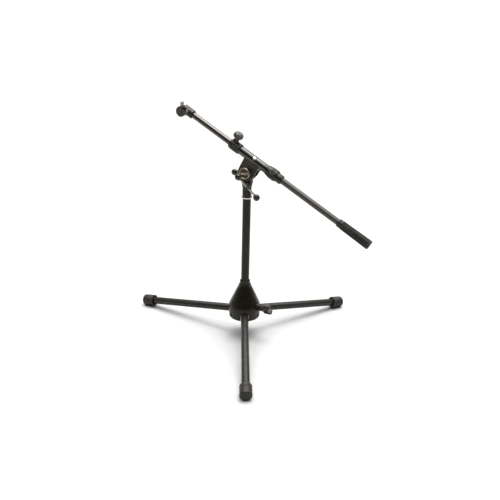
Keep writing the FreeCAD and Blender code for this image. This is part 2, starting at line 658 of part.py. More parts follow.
def make_pivot_nut():
    """The round nut on the near cheek: a dished face with a raised bar across it."""
    frame = pivot_frame() * at(0, -size("cheek_outer"), 0, about(X, 90))
    body = turned("pivot_nut_blank", [
        (0, "0"), ("nut_radius - 0.8", "0"), ("nut_radius", "0.8"), ("nut_radius", "nut_thick - 0.8"),
        ("nut_radius - 0.8", "nut_thick"), ("nut_dish_radius", "nut_thick"),
        ("nut_dish_radius - 0.8", "nut_thick - 2.4"), (0, "nut_thick - 2.4")])
    bar = block("2 * nut_bar_half", "nut_bar_width", "3.4",
                at(0, 0, 0, about(Z, size("nut_bar_turn")))
                * at(-size("nut_bar_half"), -size("nut_bar_width") / 2, size("nut_thick") - 3.2))
    hole = cylinder("tilt_screw_radius + running_gap", "3.3", at(0, 0, -0.1))
    keep(cut(fused([body, bar]), [hole]), "pivot_nut", frame)


def make_friction_washers():
    parts = []
    for side in (-1, 1):
        inner = size("cheek_inner")
        start = inner if side > 0 else -inner + size("washer_thick")
        place = pivot_frame() * at(0, start, 0, about(X, 90))
        disc = cylinder("tongue_width - 0.5", "washer_thick", place)
        hole = cylinder("tilt_screw_radius + running_gap", "3", place * at(0, 0, -1))
        parts.append(cut(disc, [hole]))
    keep(group(parts), "friction_washers")


# ---------------------------------------------------------------- bracket and boom

def make_bracket():
    """A channel whose cheeks hang on the tilt axis and whose top cradles the outer tube."""
    body = doc.addObject("PartDesign::Body", "bracket_blank")
    pad(body, circle_sketch(body, "XZ_Plane", 0, 0, "cheek_round"), "2 * cheek_outer")
    slant = "15.2 deg"
    pad(body, outline_sketch(body, "XZ_Plane", [
        ("-cheek_front", 0), ("cheek_round * cos(%s)" % slant, "-cheek_round * sin(%s)" % slant),
        ("cheek_rear", "cheek_rear_low"), ("cheek_rear", "cheek_top"),
        ("-cheek_front", "cheek_top")]), "2 * cheek_outer")
    frame = pivot_frame()
    slot = block("80", "2 * cheek_inner", "channel_roof + 30", at(-40, -size("cheek_inner"), -30))
    seat = cylinder("outer_radius", "100", at(-50, 0, size("boom_rise"), ALONG_X))
    bolt = cylinder("tilt_screw_radius + running_gap", "60", at(0, 30, 0, about(X, 90)))
    keep(cut(body, [slot, seat, bolt]), "boom_bracket", frame)


def make_outer_tube():
    start = boom_frame(-size("outer_front"))
    shell = turned("outer_tube_blank", [
        ("outer_inside", "0"), ("outer_radius", "0"), ("outer_radius", "outer_front + outer_rear"),
        ("outer_inside", "outer_front + outer_rear")])
    shell.Placement = start
    tube("boom_tube_liner", "outer_inside", "rod_radius + running_gap", "0",
         "outer_front + outer_rear", start)
    side = pivot_frame() * at(2.2, 0, size("boom_rise"), about(X, 45))
    hole = cylinder("1.9", "6", side * at(0, 0, 7))
    spot = cylinder("4", "3", side * at(0, 0, size("outer_radius") - 0.75))
    keep(cut(shell, [hole, spot]), "boom_outer_tube")
    rivet = turned("liner_rivet", [
        (0, "outer_inside"), ("1.9", "outer_inside"), ("1.9", "outer_radius - 0.75"),
        ("4", "outer_radius - 0.75"), ("3.6", "outer_radius + 0.7"), ("2.2", "outer_radius + 1.3"),
        (0, "outer_radius + 1.3")])
    keep(rivet, "liner_rivet", side)


def make_front_clamp():
    length = "front_clamp_far - front_clamp_near"
    body = turned("front_clamp_blank", [
        ("rod_radius + running_gap", "0"), ("front_clamp_radius - 1.2", "0"),
        ("front_clamp_radius", "1.2"), ("front_clamp_radius", length + " - 1.2"),
        ("front_clamp_radius - 1.2", length), ("outer_radius", length),
        ("outer_radius", "front_clamp_far - outer_front"),
        ("rod_radius + running_gap", "front_clamp_far - outer_front")])
    flutes(body, 18, "front_clamp_radius + 0.35", "1.0", "3", length + " - 3")
    frame = boom_frame(-size("front_clamp_far"))
    place = size("front_clamp_far") - size("front_knob_place")
    up = at(0, 0, place, about(Y, -90))
    boss = cylinder("front_boss_radius", "front_boss_top - 10", up * at(0, 0, 10))
    hole = cylinder("3 + running_gap", "20", up * at(0, 0, 5))
    keep(cut(fused([body, boss]), [hole]), "front_clamp", frame)
    knob_frame = boom_frame(-size("front_knob_place")) * at(0, 0, 0, about(Y, -90))
    screw = turned("front_clamp_screw", [
        (0, "rod_radius + 0.35"), ("2.4", "rod_radius + 0.35"), ("3", "rod_radius + 1"),
        ("3", "27"), (0, "27")])
    keep(screw, "front_clamp_screw", knob_frame)
    knob = turned("front_clamp_knob_blank", [
        (0, "knob_bottom"), ("6.4", "knob_bottom"), ("6.2", "20"), ("knob_radius - 4", "21.4"),
        ("knob_radius - 0.8", "22.4"), ("knob_radius", "25"), ("knob_radius - 0.4", "30"),
        ("knob_radius - 3", "knob_top - 1.2"), ("4", "knob_top"), (0, "knob_top")])
    flutes(knob, 9, "knob_radius + 1.4", "2.4", "18", "knob_top + 1")
    hole = cylinder("3", "27 - knob_bottom + 1", at(0, 0, size("knob_bottom") - 1))
    keep(cut(knob, [hole]), "front_clamp_knob", knob_frame)


def make_rear_clutch():
    frame = boom_frame(0)
    collet = turned("rear_collet", [
        ("rod_radius + running_gap", "outer_rear"), ("outer_radius - 0.9", "outer_rear"),
        ("outer_radius - 0.9", "rear_nut_end + 0.3"), ("collet_radius", "rear_nut_end + 0.3"),
        ("collet_radius", "collet_end - 0.8"), ("collet_radius - 0.8", "collet_end"),
        ("rod_radius + 1.1", "collet_end"), ("rod_radius + 1.1", "collet_end - 3"),
        ("rod_radius + running_gap", "collet_end - 3")])
    keep(collet, "rear_collet", frame)
    nut = turned("rear_twist_nut", [
        ("outer_radius - 0.84", "outer_rear + 0.3"), ("rear_nut_front_radius - 0.8", "outer_rear + 0.3"),
        ("rear_nut_front_radius", "outer_rear + 1.1"), ("rear_nut_radius", "rear_nut_end - 9"),
        ("rear_nut_radius", "rear_nut_end - 1.4"),
        ("rear_nut_radius - 1.4", "rear_nut_end"), ("outer_radius - 0.84", "rear_nut_end")])
    flutes(nut, 18, "rear_nut_radius + 0.35", "1.0", "outer_rear + 4", "rear_nut_end - 3")
    keep(nut, "rear_twist_nut", frame)


def make_rod():
    start = boom_frame(-size("rod_front"))
    length = "rod_front + rod_rear"
    tube("boom_rod", "rod_radius", "rod_radius - rod_wall", "0", length, start)
    inner = "rod_radius - rod_wall"
    keep(turned("rod_end_plug", [(0, length + " - 10"), (inner, length + " - 10"), (inner, length),
                                 ("rod_radius", length), ("rod_radius", length + " + 2"),
                                 (0, length + " + 2")]), "rod_end_plug", start)
    grip = turned("grip", [
        ("rod_radius", "grip_start"), ("grip_front_radius - 1.2", "grip_start"),
        ("grip_front_radius", "grip_start + 2"), ("grip_radius", "grip_end - 1"),
        ("grip_radius - 1", "grip_end"), (0, "grip_end"), (0, "rod_rear + 2"),
        ("rod_radius", "rod_rear + 2")])
    flutes(grip, 14, "grip_radius", "1.6", "grip_start + 5", "grip_end - 4")
    keep(grip, "grip", boom_frame(0))


def make_tip():
    """The clamp on the rod's end, with two lugs for the microphone knuckle."""
    frame = boom_frame(-size("tip_start"))
    length = "tip_start - tip_end"
    body = turned("tip_clamp_blank", [
        (0, "0"), ("tip_radius - 1", "0"), ("tip_radius", "1"), ("tip_radius", length + " - 1"),
        ("tip_radius - 1", length), ("rod_radius", length), ("rod_radius", "tip_start - rod_front"),
        (0, "tip_start - rod_front")])
    body.Placement = frame
    knuckle = pivot_frame() * at(-size("knuckle_place"), 0, size("knuckle_rise"))
    lugs = []
    seats = []
    for side in (-1, 1):
        start = size("lug_inner") if side > 0 else -size("lug_outer")
        end = start + size("lug_outer") - size("lug_inner")
        seat_end = size("lug_outer") + 6 if side > 0 else -size("lug_outer")
        seats.append(cylinder("bolt_head_radius + 0.4", "6", knuckle * at(0, seat_end, 0, about(X, 90))))
        lugs.append(cylinder("knuckle_radius + 0.4", "lug_outer - lug_inner",
                             knuckle * at(0, end, 0, about(X, 90))))
        lugs.append(block("12", "lug_outer - lug_inner", "15",
                          knuckle * at(0, start, 0, about(Y, -30)) * at(0, 0, -7)))
    room = cylinder("knuckle_radius + 0.6", "2 * lug_inner",
                    knuckle * at(0, size("lug_inner"), 0, about(X, 90)))
    bolt = cylinder("2.5", "40", knuckle * at(0, 20, 0, about(X, 90)))
    inside = cylinder("rod_radius", "30", boom_frame(-size("rod_front")))
    side_frame = pivot_frame() * at(-size("tip_screw_place"), 0, size("boom_rise"), about(X, 68))
    pin = cylinder("1.6", "12", side_frame * at(0, 0, 3))
    spot = cylinder("2.9", "4", side_frame * at(0, 0, size("tip_radius") - 0.5))
    keep(cut(fused([body] + lugs), [room, bolt, inside, pin, spot] + seats), "tip_clamp")
    screw = turned("tip_screw", [
        (0, "rod_radius"), ("1.6", "rod_radius"), ("1.6", "tip_radius - 0.5"),
        ("2.9", "tip_radius - 0.5"),
        ("2.9", "tip_radius + 0.7"), ("2", "tip_radius + 1.3"), (0, "tip_radius + 1.3")])
    keep(screw, "tip_screw", side_frame)


def make_knuckle():
    knuckle = pivot_frame() * at(-size("knuckle_place"), 0, size("knuckle_rise"))
    upright = knuckle * at(0, 0, 0, about(Y, -size("pitch")))
    width = "2 * (lug_inner - 0.3)"
    disc = cylinder("knuckle_radius", width,
                    upright * at(0, size("lug_inner") - 0.3, 0, about(X, 90)))
    neck = cylinder("lug_inner - 0.4", "stud_height - stud_length", upright)
    hole = cylinder("2.5 + running_gap", "40", upright * at(0, 20, 0, about(X, 90)))
    socket = cylinder("2.6", "stud_height - 3.6", upright * at(0, 0, 3.6))
    keep(cut(fused([disc, neck]), [hole, socket]), "mic_knuckle")
    stud = turned("mic_stud", [
        (0, "3.6"), ("2.6", "3.6"), ("2.6", "stud_height - stud_length"),
        ("stud_radius", "stud_height - stud_length"), ("stud_radius", "stud_height - 0.9"),
        ("stud_radius - 0.9", "stud_height"), (0, "stud_height")])
    keep(stud, "mic_stud", upright)
    bolt = turned("knuckle_bolt", [
        (0, "-lug_outer - 2"), ("bolt_head_radius - 0.5", "-lug_outer - 2"),
        ("bolt_head_radius", "-lug_outer - 1.4"), ("bolt_head_radius", "-lug_outer"),
        ("2.5", "-lug_outer"), ("2.5", "lug_outer"), ("bolt_head_radius", "lug_outer"),
        ("bolt_head_radius", "lug_outer + 1.4"), ("bolt_head_radius - 0.5", "lug_outer + 2"),
        (0, "lug_outer + 2")])
    keep(bolt, "knuckle_bolt", knuckle * at(0, 0, 0, about(X, 90)))


# ---------------------------------------------------------------- build, check and export

def check_document():
    for item in doc.Objects:
        bad = [state for state in item.State if state in ("Invalid", "Error")]
        if bad:
            raise RuntimeError("%s (%s): %s" % (item.Label, item.TypeId, item.State))
    for piece in nodes:
        if piece.Shape.isNull() or not piece.Shape.isValid():
            raise RuntimeError(piece.Label + " has no valid shape")


def export():
    os.makedirs("parts", exist_ok=True)
    for piece in nodes:
        piece.Shape.exportStep("parts/%s.step" % piece.Label)
        print("%-22s solids %d  volume %9.1f" % (piece.Label, len(piece.Shape.Solids),
                                                 piece.Shape.Volume))


make_upright()
make_hub()
for leg_name, leg_azimuth in LEGS:
    make_leg(leg_name, leg_azimuth)
make_bell()
make_stop_ring()
make_wing_knob()
make_head()
make_swivel_clamp()
make_tilt_clamp()
make_pivot_nut()
make_friction_washers()
make_bracket()
make_outer_tube()
make_front_clamp()
make_rear_clutch()
make_rod()
make_tip()
make_knuckle()
doc.recompute()
check_document()
export()
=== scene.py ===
import json
import math

import bmesh
import bpy
from mathutils import Matrix, Vector

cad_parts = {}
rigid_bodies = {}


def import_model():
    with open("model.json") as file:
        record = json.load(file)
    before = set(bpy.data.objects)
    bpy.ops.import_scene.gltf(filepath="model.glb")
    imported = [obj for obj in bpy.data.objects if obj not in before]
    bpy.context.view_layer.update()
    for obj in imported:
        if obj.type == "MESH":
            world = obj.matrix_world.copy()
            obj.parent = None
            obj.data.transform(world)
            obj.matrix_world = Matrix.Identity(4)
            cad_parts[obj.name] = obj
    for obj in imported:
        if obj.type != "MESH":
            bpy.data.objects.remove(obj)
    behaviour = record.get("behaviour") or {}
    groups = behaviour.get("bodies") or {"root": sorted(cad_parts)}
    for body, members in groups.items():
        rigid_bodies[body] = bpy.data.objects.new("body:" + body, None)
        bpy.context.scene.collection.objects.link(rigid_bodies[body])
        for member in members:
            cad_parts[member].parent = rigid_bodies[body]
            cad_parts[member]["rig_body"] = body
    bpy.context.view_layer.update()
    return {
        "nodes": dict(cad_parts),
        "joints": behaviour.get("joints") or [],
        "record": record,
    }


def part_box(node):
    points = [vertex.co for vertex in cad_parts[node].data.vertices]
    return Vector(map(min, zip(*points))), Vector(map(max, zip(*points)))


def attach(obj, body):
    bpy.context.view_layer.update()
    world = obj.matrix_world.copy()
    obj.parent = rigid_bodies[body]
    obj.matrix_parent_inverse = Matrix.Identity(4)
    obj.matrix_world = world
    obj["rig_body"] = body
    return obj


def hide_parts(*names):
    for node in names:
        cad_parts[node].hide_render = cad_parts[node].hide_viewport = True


# The looks of a low boom microphone stand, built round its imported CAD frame.  Metres, +Z up.

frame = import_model()
NODES = frame["nodes"]
JOINTS = {joint["name"]: joint for joint in frame["joints"]}
SLOTS = {part["node"]: part["material_slot"] for part in frame["record"]["subparts"]}
MM = 0.001
FULL_TURN = 2 * math.pi
UP = Vector((0, 0, 1))
LEG_NAMES = ("front", "right", "left")
NOTCH_HALF = 9.75
NOTCH_RISE = 2.0
WING_REST = math.radians(31)


# ---------------------------------------------------------------- places, taken from the frame

def axis_of(joint):
    """The unit direction of a joint's axis."""
    return Vector(JOINTS[joint]["axis"]).normalized()


def place_of(joint):
    """The point that a hinge turns about."""
    return Vector(JOINTS[joint]["pos_m"])


def facing(origin, along, side):
    """A frame at origin with Z along one direction and X as near as it gets to another."""
    z = along.normalized()
    y = z.cross(side).normalized()
    x = y.cross(z)
    made = Matrix((x, y, z)).transposed().to_4x4()
    made.translation = origin
    return made


def spread(node, place):
    """Lowest and highest Z and largest radius of a CAD node, in a frame with Z along it."""
    back = place.inverted()
    points = [back @ vertex.co for vertex in NODES[node].data.vertices]
    heights = [point.z for point in points]
    return min(heights), max(heights), max(point.xy.length for point in points)


def centre_of(node):
    low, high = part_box(node)
    return (Vector(low) + Vector(high)) / 2


def boom_frame():
    """Z along the boom towards the grip, X up, and the origin nearest to the tilt axis."""
    along = axis_of("rod_slide")
    side = axis_of("boom_tilt")
    rise = along.cross(side)
    on_axis = place_of("rear_nut_turn")
    origin = on_axis + along * (place_of("boom_tilt") - on_axis).dot(along)
    return facing(origin, along, rise if rise.z > 0 else -rise)


def leg_frame(name):
    """Z along a leg outwards, X up, and the origin on its hinge pin."""
    hinge = place_of(name + "_leg_fold")
    low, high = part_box(name + "_leg_tube")
    middle = (Vector(low) + Vector(high)) / 2
    return facing(hinge, middle - hinge, UP)


BOOM = boom_frame()


# ---------------------------------------------------------------- meshes

def finish_mesh(name, verts, faces, sharp=40.0):
    """A mesh with outward normals, smooth apart from edges sharper than the angle."""
    shape = bmesh.new()
    made = [shape.verts.new(vert) for vert in verts]
    for face in faces:
        shape.faces.new([made[index] for index in face])
    bmesh.ops.remove_doubles(shape, verts=shape.verts, dist=1e-7)
    bmesh.ops.recalc_face_normals(shape, faces=shape.faces)
    mesh = bpy.data.meshes.new(name)
    shape.to_mesh(mesh)
    shape.free()
    mesh.shade_smooth()
    mesh.set_sharp_from_angle(angle=math.radians(sharp))
    return mesh


def piece(name, mesh, place, stands_for, finish):
    """An object that stands for CAD nodes, rides with their body and wears a material."""
    made = bpy.data.objects.new(name, mesh)
    bpy.context.scene.collection.objects.link(made)
    made.matrix_world = place
    mesh.materials.append(finish)
    first = stands_for[0]
    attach(made, NODES[first]["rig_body"])
    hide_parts(*stands_for)
    return made


def softened(points, amount, steps=3, closed=False):
    """An outline whose corners are short curves instead."""
    made = []
    count = len(points)
    for index, point in enumerate(points):
        here = Vector(point)
        if not closed and index in (0, count - 1):
            made.append(tuple(here))
            continue
        before = Vector(points[index - 1]) - here
        after = Vector(points[(index + 1) % count]) - here
        reach = min(amount, 0.45 * before.length, 0.45 * after.length)
        start = here + before.normalized() * reach
        end = here + after.normalized() * reach
        for step in range(steps + 1):
            t = step / steps
            made.append(tuple(start * (1 - t) ** 2 + here * 2 * t * (1 - t) + end * t * t))
    return made


def refined(points, longest, closed=False):
    """An outline with extra points, so that no step is longer than asked."""
    made = []
    count = len(points)
    for index in range(count if closed else count - 1):
        here, there = Vector(points[index]), Vector(points[(index + 1) % count])
        parts = max(1, math.ceil((there - here).length / longest))
        made += [tuple(here.lerp(there, part / parts)) for part in range(parts)]
    if not closed:
        made.append(points[-1])
    return made


def turned(outline, segments=96, shape=None, closed=False):
    """Vertices and faces of an outline of (radius, height) in mm, turned about Z."""
    verts, faces, rings = [], [], []
    for radius, height in outline:
        ring = []
        single = radius < 1e-6
        for step in range(1 if single else segments):
            angle = FULL_TURN * step / segments
            reach = shape(radius, height, angle) if shape and not single else radius
            ring.append(len(verts))
            verts.append((reach * math.cos(angle) * MM, reach * math.sin(angle) * MM, height * MM))
        rings.append(ring)
    pairs = list(zip(rings, rings[1:]))
    if closed:
        pairs.append((rings[-1], rings[0]))
    for lower, upper in pairs:
        for step in range(segments):
            following = (step + 1) % segments
            if len(lower) == 1 and len(upper) == 1:
                break
            if len(lower) == 1:
                faces.append((lower[0], upper[following], upper[step]))
            elif len(upper) == 1:
                faces.append((lower[step], lower[following], upper[0]))
            else:
                faces.append((lower[step], lower[following], upper[following], upper[step]))
    return verts, faces


def smoothstep(low, high, value):
    t = min(1.0, max(0.0, (value - low) / (high - low)))
    return t * t * (3 - 2 * t)


def grooves(count, depth, width, low, high, fade=1.5, above=0.0):
    """A turned shape with round grooves along it, which fade out at both ends."""
    def shape(radius, height, angle):
        if radius < above:
            return radius
        along = smoothstep(low, low + fade, height) * (1 - smoothstep(high - fade, high, height))
        turn = angle * count / FULL_TURN
        off = abs(turn - round(turn)) * FULL_TURN * radius / count
        across = max(0.0, 1 - (off / (width / 2)) ** 2)
        return radius - depth * along * across
    return shape


def threads(pitch, depth, low, high):
    """A turned shape with a screw thread between two heights."""
    def shape(radius, height, angle):
        along = smoothstep(low, low + pitch, height) * (1 - smoothstep(high - pitch, high, height))
        phase = (height / pitch - angle / FULL_TURN) % 1
        return radius - depth * along * abs(2 * phase - 1)
    return shape


def hexagon(above, below):
    """A turned shape whose radii between two limits make a hexagon, as in a socket."""
    def shape(radius, height, angle):
        if not below < radius < above:
            return radius
        sixth = FULL_TURN / 6
        off = (angle + sixth / 2) % sixth - sixth / 2
        return radius * math.cos(sixth / 2) / math.cos(off)
    return shape


def united(name, shapes, sharp=40.0, cut=()):
    """One closed mesh from several (verts, faces, place), less the shapes in cut."""
    made = []
    for index, (verts, faces, place) in enumerate(list(shapes) + list(cut)):
        mesh = finish_mesh("%s_%d" % (name, index), verts, faces)
        mesh.transform(place)
        item = bpy.data.objects.new(mesh.name, mesh)
        bpy.context.scene.collection.objects.link(item)
        made.append(item)
    base = made[0]
    for index, item in enumerate(made[1:], start=1):
        joint = base.modifiers.new("join", "BOOLEAN")
        joint.operation = "UNION" if index < len(shapes) else "DIFFERENCE"
        joint.solver = "EXACT"
        joint.object = item
    bpy.context.view_layer.update()
    seen = base.evaluated_get(bpy.context.evaluated_depsgraph_get())
    result = bpy.data.meshes.new_from_object(seen)
    result.name = name
    for item in made:
        bpy.data.objects.remove(item)
    result.materials.clear()
    result.shade_smooth()
    result.set_sharp_from_angle(angle=math.radians(sharp))
    return result


def shifted(x=0.0, y=0.0, z=0.0):
    return Matrix.Translation((x * MM, y * MM, z * MM))


def rounded_prism(outline, low, high, edge, steps=3):
    """Vertices and faces of an outline of (x, y) in mm pushed along Z, with round rims."""
    levels = []
    for step in range(steps + 1):
        t = math.pi / 2 * step / steps
        levels.append((edge * (1 - math.sin(t)), low + edge * (1 - math.cos(t))))
    for step in range(steps + 1):
        t = math.pi / 2 * (1 - step / steps)
        levels.append((edge * (1 - math.sin(t)), high - edge * (1 - math.cos(t))))
    count = len(outline)
    normals = []
    for index in range(count):
        before = Vector(outline[index]) - Vector(outline[index - 1])
        after = Vector(outline[(index + 1) % count]) - Vector(outline[index])
        direction = before.normalized() + after.normalized()
        normals.append(Vector((direction.y, -direction.x)).normalized())
    verts, faces = [], []
    for inset, height in levels:
        for point, normal in zip(outline, normals):
            place = Vector(point) - normal * inset
            verts.append((place.x * MM, place.y * MM, height * MM))
    for level in range(len(levels) - 1):
        for step in range(count):
            a = level * count + step
            b = level * count + (step + 1) % count
            faces.append((a, b, b + count, a + count))
    faces.append(tuple(reversed(range(count))))
    faces.append(tuple(range((len(levels) - 1) * count, len(levels) * count)))
    return verts, faces


# ---------------------------------------------------------------- materials

class Finish:
    """A procedural material under construction, round one Principled shader."""

    def __init__(self, name, metallic=0.0, specular=0.5, coat=0.0, coat_roughness=0.1):
        self.material = bpy.data.materials.new(name)
        self.material.use_nodes = True
        self.tree = self.material.node_tree
        self.shader = self.tree.nodes["Principled BSDF"]
        self.shader.inputs["Metallic"].default_value = metallic
        self.shader.inputs["Specular IOR Level"].default_value = specular
        self.shader.inputs["Specular Tint"].default_value = (1.0, 0.94, 0.84, 1.0)
        self.shader.inputs["Coat Weight"].default_value = coat
        self.shader.inputs["Coat Roughness"].default_value = coat_roughness
        place = self.add("ShaderNodeTexCoord").outputs["Object"]
        chance = self.add("ShaderNodeObjectInfo").outputs["Random"]
        self.place = self.add("ShaderNodeVectorMath", {0: place, 1: chance}, operation="ADD").outputs[0]
        self.normal = None

    def add(self, kind, inputs=None, **settings):
        made = self.tree.nodes.new(kind)
        for key, value in settings.items():
            setattr(made, key, value)
        for key, value in (inputs or {}).items():
            if isinstance(value, bpy.types.NodeSocket):
                self.tree.links.new(value, made.inputs[key])
            else:
                made.inputs[key].default_value = value
        return made

    def noise(self, size_mm, detail=3.0, stretch=(1, 1, 1), roughness=0.55):
        """Noise whose features are about this big, longer along an axis with a small stretch."""
        place = self.add("ShaderNodeVectorMath", {0: self.place, 1: stretch}, operation="MULTIPLY")
        made = self.add("ShaderNodeTexNoise", {
            "Vector": place.outputs[0], "Scale": 1 / (size_mm * MM), "Detail": detail,
            "Roughness": roughness})
        return made.outputs["Fac"]

    def cells(self, size_mm):
        """Distance to the middle of irregular cells, from 0 to about 1."""
        made = self.add("ShaderNodeTexVoronoi", {"Vector": self.place, "Scale": 1 / (size_mm * MM)})
        return made.outputs["Distance"]

    def levels(self, value, low, high, to_low=0.0, to_high=1.0):
        made = self.add("ShaderNodeMapRange", {
            "Value": value, "From Min": low, "From Max": high, "To Min": to_low, "To Max": to_high},
            interpolation_type="SMOOTHSTEP")
        return made.outputs["Result"]

    def mixed(self, fac, first, second):
        made = self.add("ShaderNodeMix", data_type="RGBA")
        sockets = {"Factor": fac, "A": first, "B": second}
        for socket in made.inputs:
            if socket.enabled and socket.name in sockets:
                value = sockets[socket.name]
                if isinstance(value, bpy.types.NodeSocket):
                    self.tree.links.new(value, socket)
                elif socket.type == "RGBA":
                    socket.default_value = tuple(value) + (1.0,)
                else:
                    socket.default_value = value
        return [socket for socket in made.outputs if socket.enabled][0]

    def sum(self, first, second):
        return self.add("ShaderNodeMath", {0: first, 1: second}, operation="ADD").outputs[0]

    def product(self, first, second):
        return self.add("ShaderNodeMath", {0: first, 1: second}, operation="MULTIPLY").outputs[0]

    def edges(self, low=0.58, high=0.70):
        """1 on outside edges and 0 on flats."""
        point = self.add("ShaderNodeNewGeometry").outputs["Pointiness"]
        return self.levels(point, low, high)

    def bump(self, height, depth_mm, strength=1.0):
        inputs = {"Height": height, "Distance": depth_mm * MM, "Strength": strength}
        if self.normal is not None:
            inputs["Normal"] = self.normal
        self.normal = self.add("ShaderNodeBump", inputs).outputs["Normal"]

    def done(self, colour, roughness):
        links = self.tree.links
        links.new(colour, self.shader.inputs["Base Color"])
        links.new(roughness, self.shader.inputs["Roughness"])
        if self.normal is not None:
            links.new(self.normal, self.shader.inputs["Normal"])
        return self.material


def paint(name, colour, worn, roughness, specular=0.5, peel_mm=1.6, coat=0.0, dust=0.12, dull_from=None):
    """Baked enamel on metal: orange peel, smudges, dust; duller past dull_from mm along its axis."""
    made = Finish(name, specular=specular, coat=coat, coat_roughness=roughness * 0.6)
    broad = made.noise(38, 2.0)
    base = made.mixed(made.levels(broad, 0.3, 0.7), [c * 0.86 for c in colour], [c * 1.14 for c in colour])
    specks = made.levels(made.noise(0.7, 1.0), 0.68, 0.76, 0.0, dust)
    base = made.mixed(specks, base, [0.30, 0.29, 0.27])
    rubbed = made.levels(made.noise(26, 5.0, roughness=0.7), 0.62, 0.74, 0.0, 0.35)
    base = made.mixed(rubbed, base, worn)
    smudge = made.levels(made.noise(14, 4.0, roughness=0.65), 0.35, 0.7,
                         roughness * 0.85, roughness * 1.25)
    scratches = made.levels(made.noise(1.1, 2.0, (1.0, 1.0, 0.03)), 0.64, 0.7, 0.0, 0.10)
    gloss = made.sum(smudge, scratches)
    if dull_from is not None:
        along = made.add("ShaderNodeSeparateXYZ", {
            0: made.add("ShaderNodeTexCoord").outputs["Object"]}).outputs["Z"]
        gloss = made.sum(gloss, made.levels(along, dull_from * MM, (dull_from + 40) * MM, 0.0, 0.34))
    made.bump(made.noise(peel_mm, 2.0), 0.025, 0.5)
    return made.done(base, gloss)


def cast(name, colour, worn, roughness, specular=0.5):
    """Powder coat on a die casting: a fine pebbled skin, with mottling and worn edges."""
    made = Finish(name, specular=specular)
    broad = made.noise(22, 3.0)
    base = made.mixed(made.levels(broad, 0.3, 0.7), [c * 0.88 for c in colour], [c * 1.12 for c in colour])
    dots = made.levels(made.cells(0.55), 0.1, 0.5, 0.05, 0.0)
    base = made.mixed(dots, base, [0.22, 0.21, 0.19])
    rubbed = made.product(made.edges(), made.levels(made.noise(2.4), 0.4, 0.6))
    base = made.mixed(made.product(rubbed, 0.75), base, worn)
    made.bump(made.cells(0.8), 0.03, 0.35)
    made.bump(made.noise(5.0, 2.0), 0.08, 0.35)
    gloss = made.levels(made.noise(9, 4.0), 0.3, 0.7, roughness * 0.85, roughness * 1.2)
    return made.done(base, gloss)


def plastic(name, colour, worn, roughness, specular=0.5, texture_mm=0.35, worn_from=None):
    """Moulded plastic with a spark-eroded skin; worn_from is a height in mm where wear begins."""
    made = Finish(name, specular=specular)
    broad = made.noise(12, 3.0)
    base = made.mixed(made.levels(broad, 0.3, 0.7), [c * 0.85 for c in colour], [c * 1.15 for c in colour])
    fine = made.levels(made.noise(texture_mm, 1.0), 0.3, 0.7, 0.0, 0.12)
    base = made.mixed(fine, base, [min(1.0, c * 3.0) for c in colour])
    rubbed = made.product(made.edges(), made.levels(made.noise(1.8), 0.35, 0.6))
    base = made.mixed(made.product(rubbed, 0.65), base, worn)
    if worn_from is not None:
        height = made.add("ShaderNodeSeparateXYZ", {
            0: made.add("ShaderNodeTexCoord").outputs["Object"]}).outputs["Z"]
        top = made.levels(height, worn_from * MM, (worn_from + 5) * MM)
        patchy = made.levels(made.noise(4.5, 4.0), 0.3, 0.62)
        base = made.mixed(made.product(made.product(top, patchy), 0.85), base, worn)
    made.bump(made.noise(texture_mm, 2.0), 0.02, 0.6)
    gloss = made.levels(made.noise(7, 4.0), 0.3, 0.7, roughness * 0.85, roughness * 1.2)
    return made.done(base, gloss)


def rubber(name, colour, dusty, roughness=0.7):
    """Moulded rubber: matt and grainy, with pale dust in patches and on its edges."""
    made = Finish(name, specular=0.35)
    broad = made.levels(made.noise(9, 4.0), 0.35, 0.75)
    base = made.mixed(broad, colour, [c * 1.5 for c in colour])
    dust = made.levels(made.noise(2.2, 5.0, roughness=0.7), 0.48, 0.72, 0.0, 0.35)
    base = made.mixed(dust, base, dusty)
    base = made.mixed(made.product(made.edges(), 0.45), base, dusty)
    made.bump(made.noise(0.5, 3.0), 0.05, 0.5)
    made.bump(made.noise(4.0, 2.0), 0.10, 0.3)
    gloss = made.levels(made.noise(5, 3.0), 0.3, 0.7, roughness * 0.88, min(1.0, roughness * 1.15))
    return made.done(base, gloss)


def steel(name, colour, stain, roughness, turned_marks=True, tarnish=0.35):
    """Machined or plated metal: fine tool marks round its axis, stains and a dull bloom."""
    made = Finish(name, metallic=1.0)
    marks = made.noise(0.22, 2.0, (0.05, 0.05, 1.0) if turned_marks else (1, 1, 1))
    darker, lighter = [c * 0.88 for c in colour], [min(1, c * 1.08) for c in colour]
    base = made.mixed(made.levels(marks, 0.3, 0.7), darker, lighter)
    bloom = made.levels(made.noise(3.2, 5.0, roughness=0.65), 0.45, 0.75, 0.0, tarnish)
    base = made.mixed(bloom, base, stain)
    made.bump(marks, 0.008, 0.5)
    dull = made.levels(made.noise(2.5, 4.0), 0.3, 0.7, roughness * 0.75, roughness * 1.3)
    return made.done(base, dull)


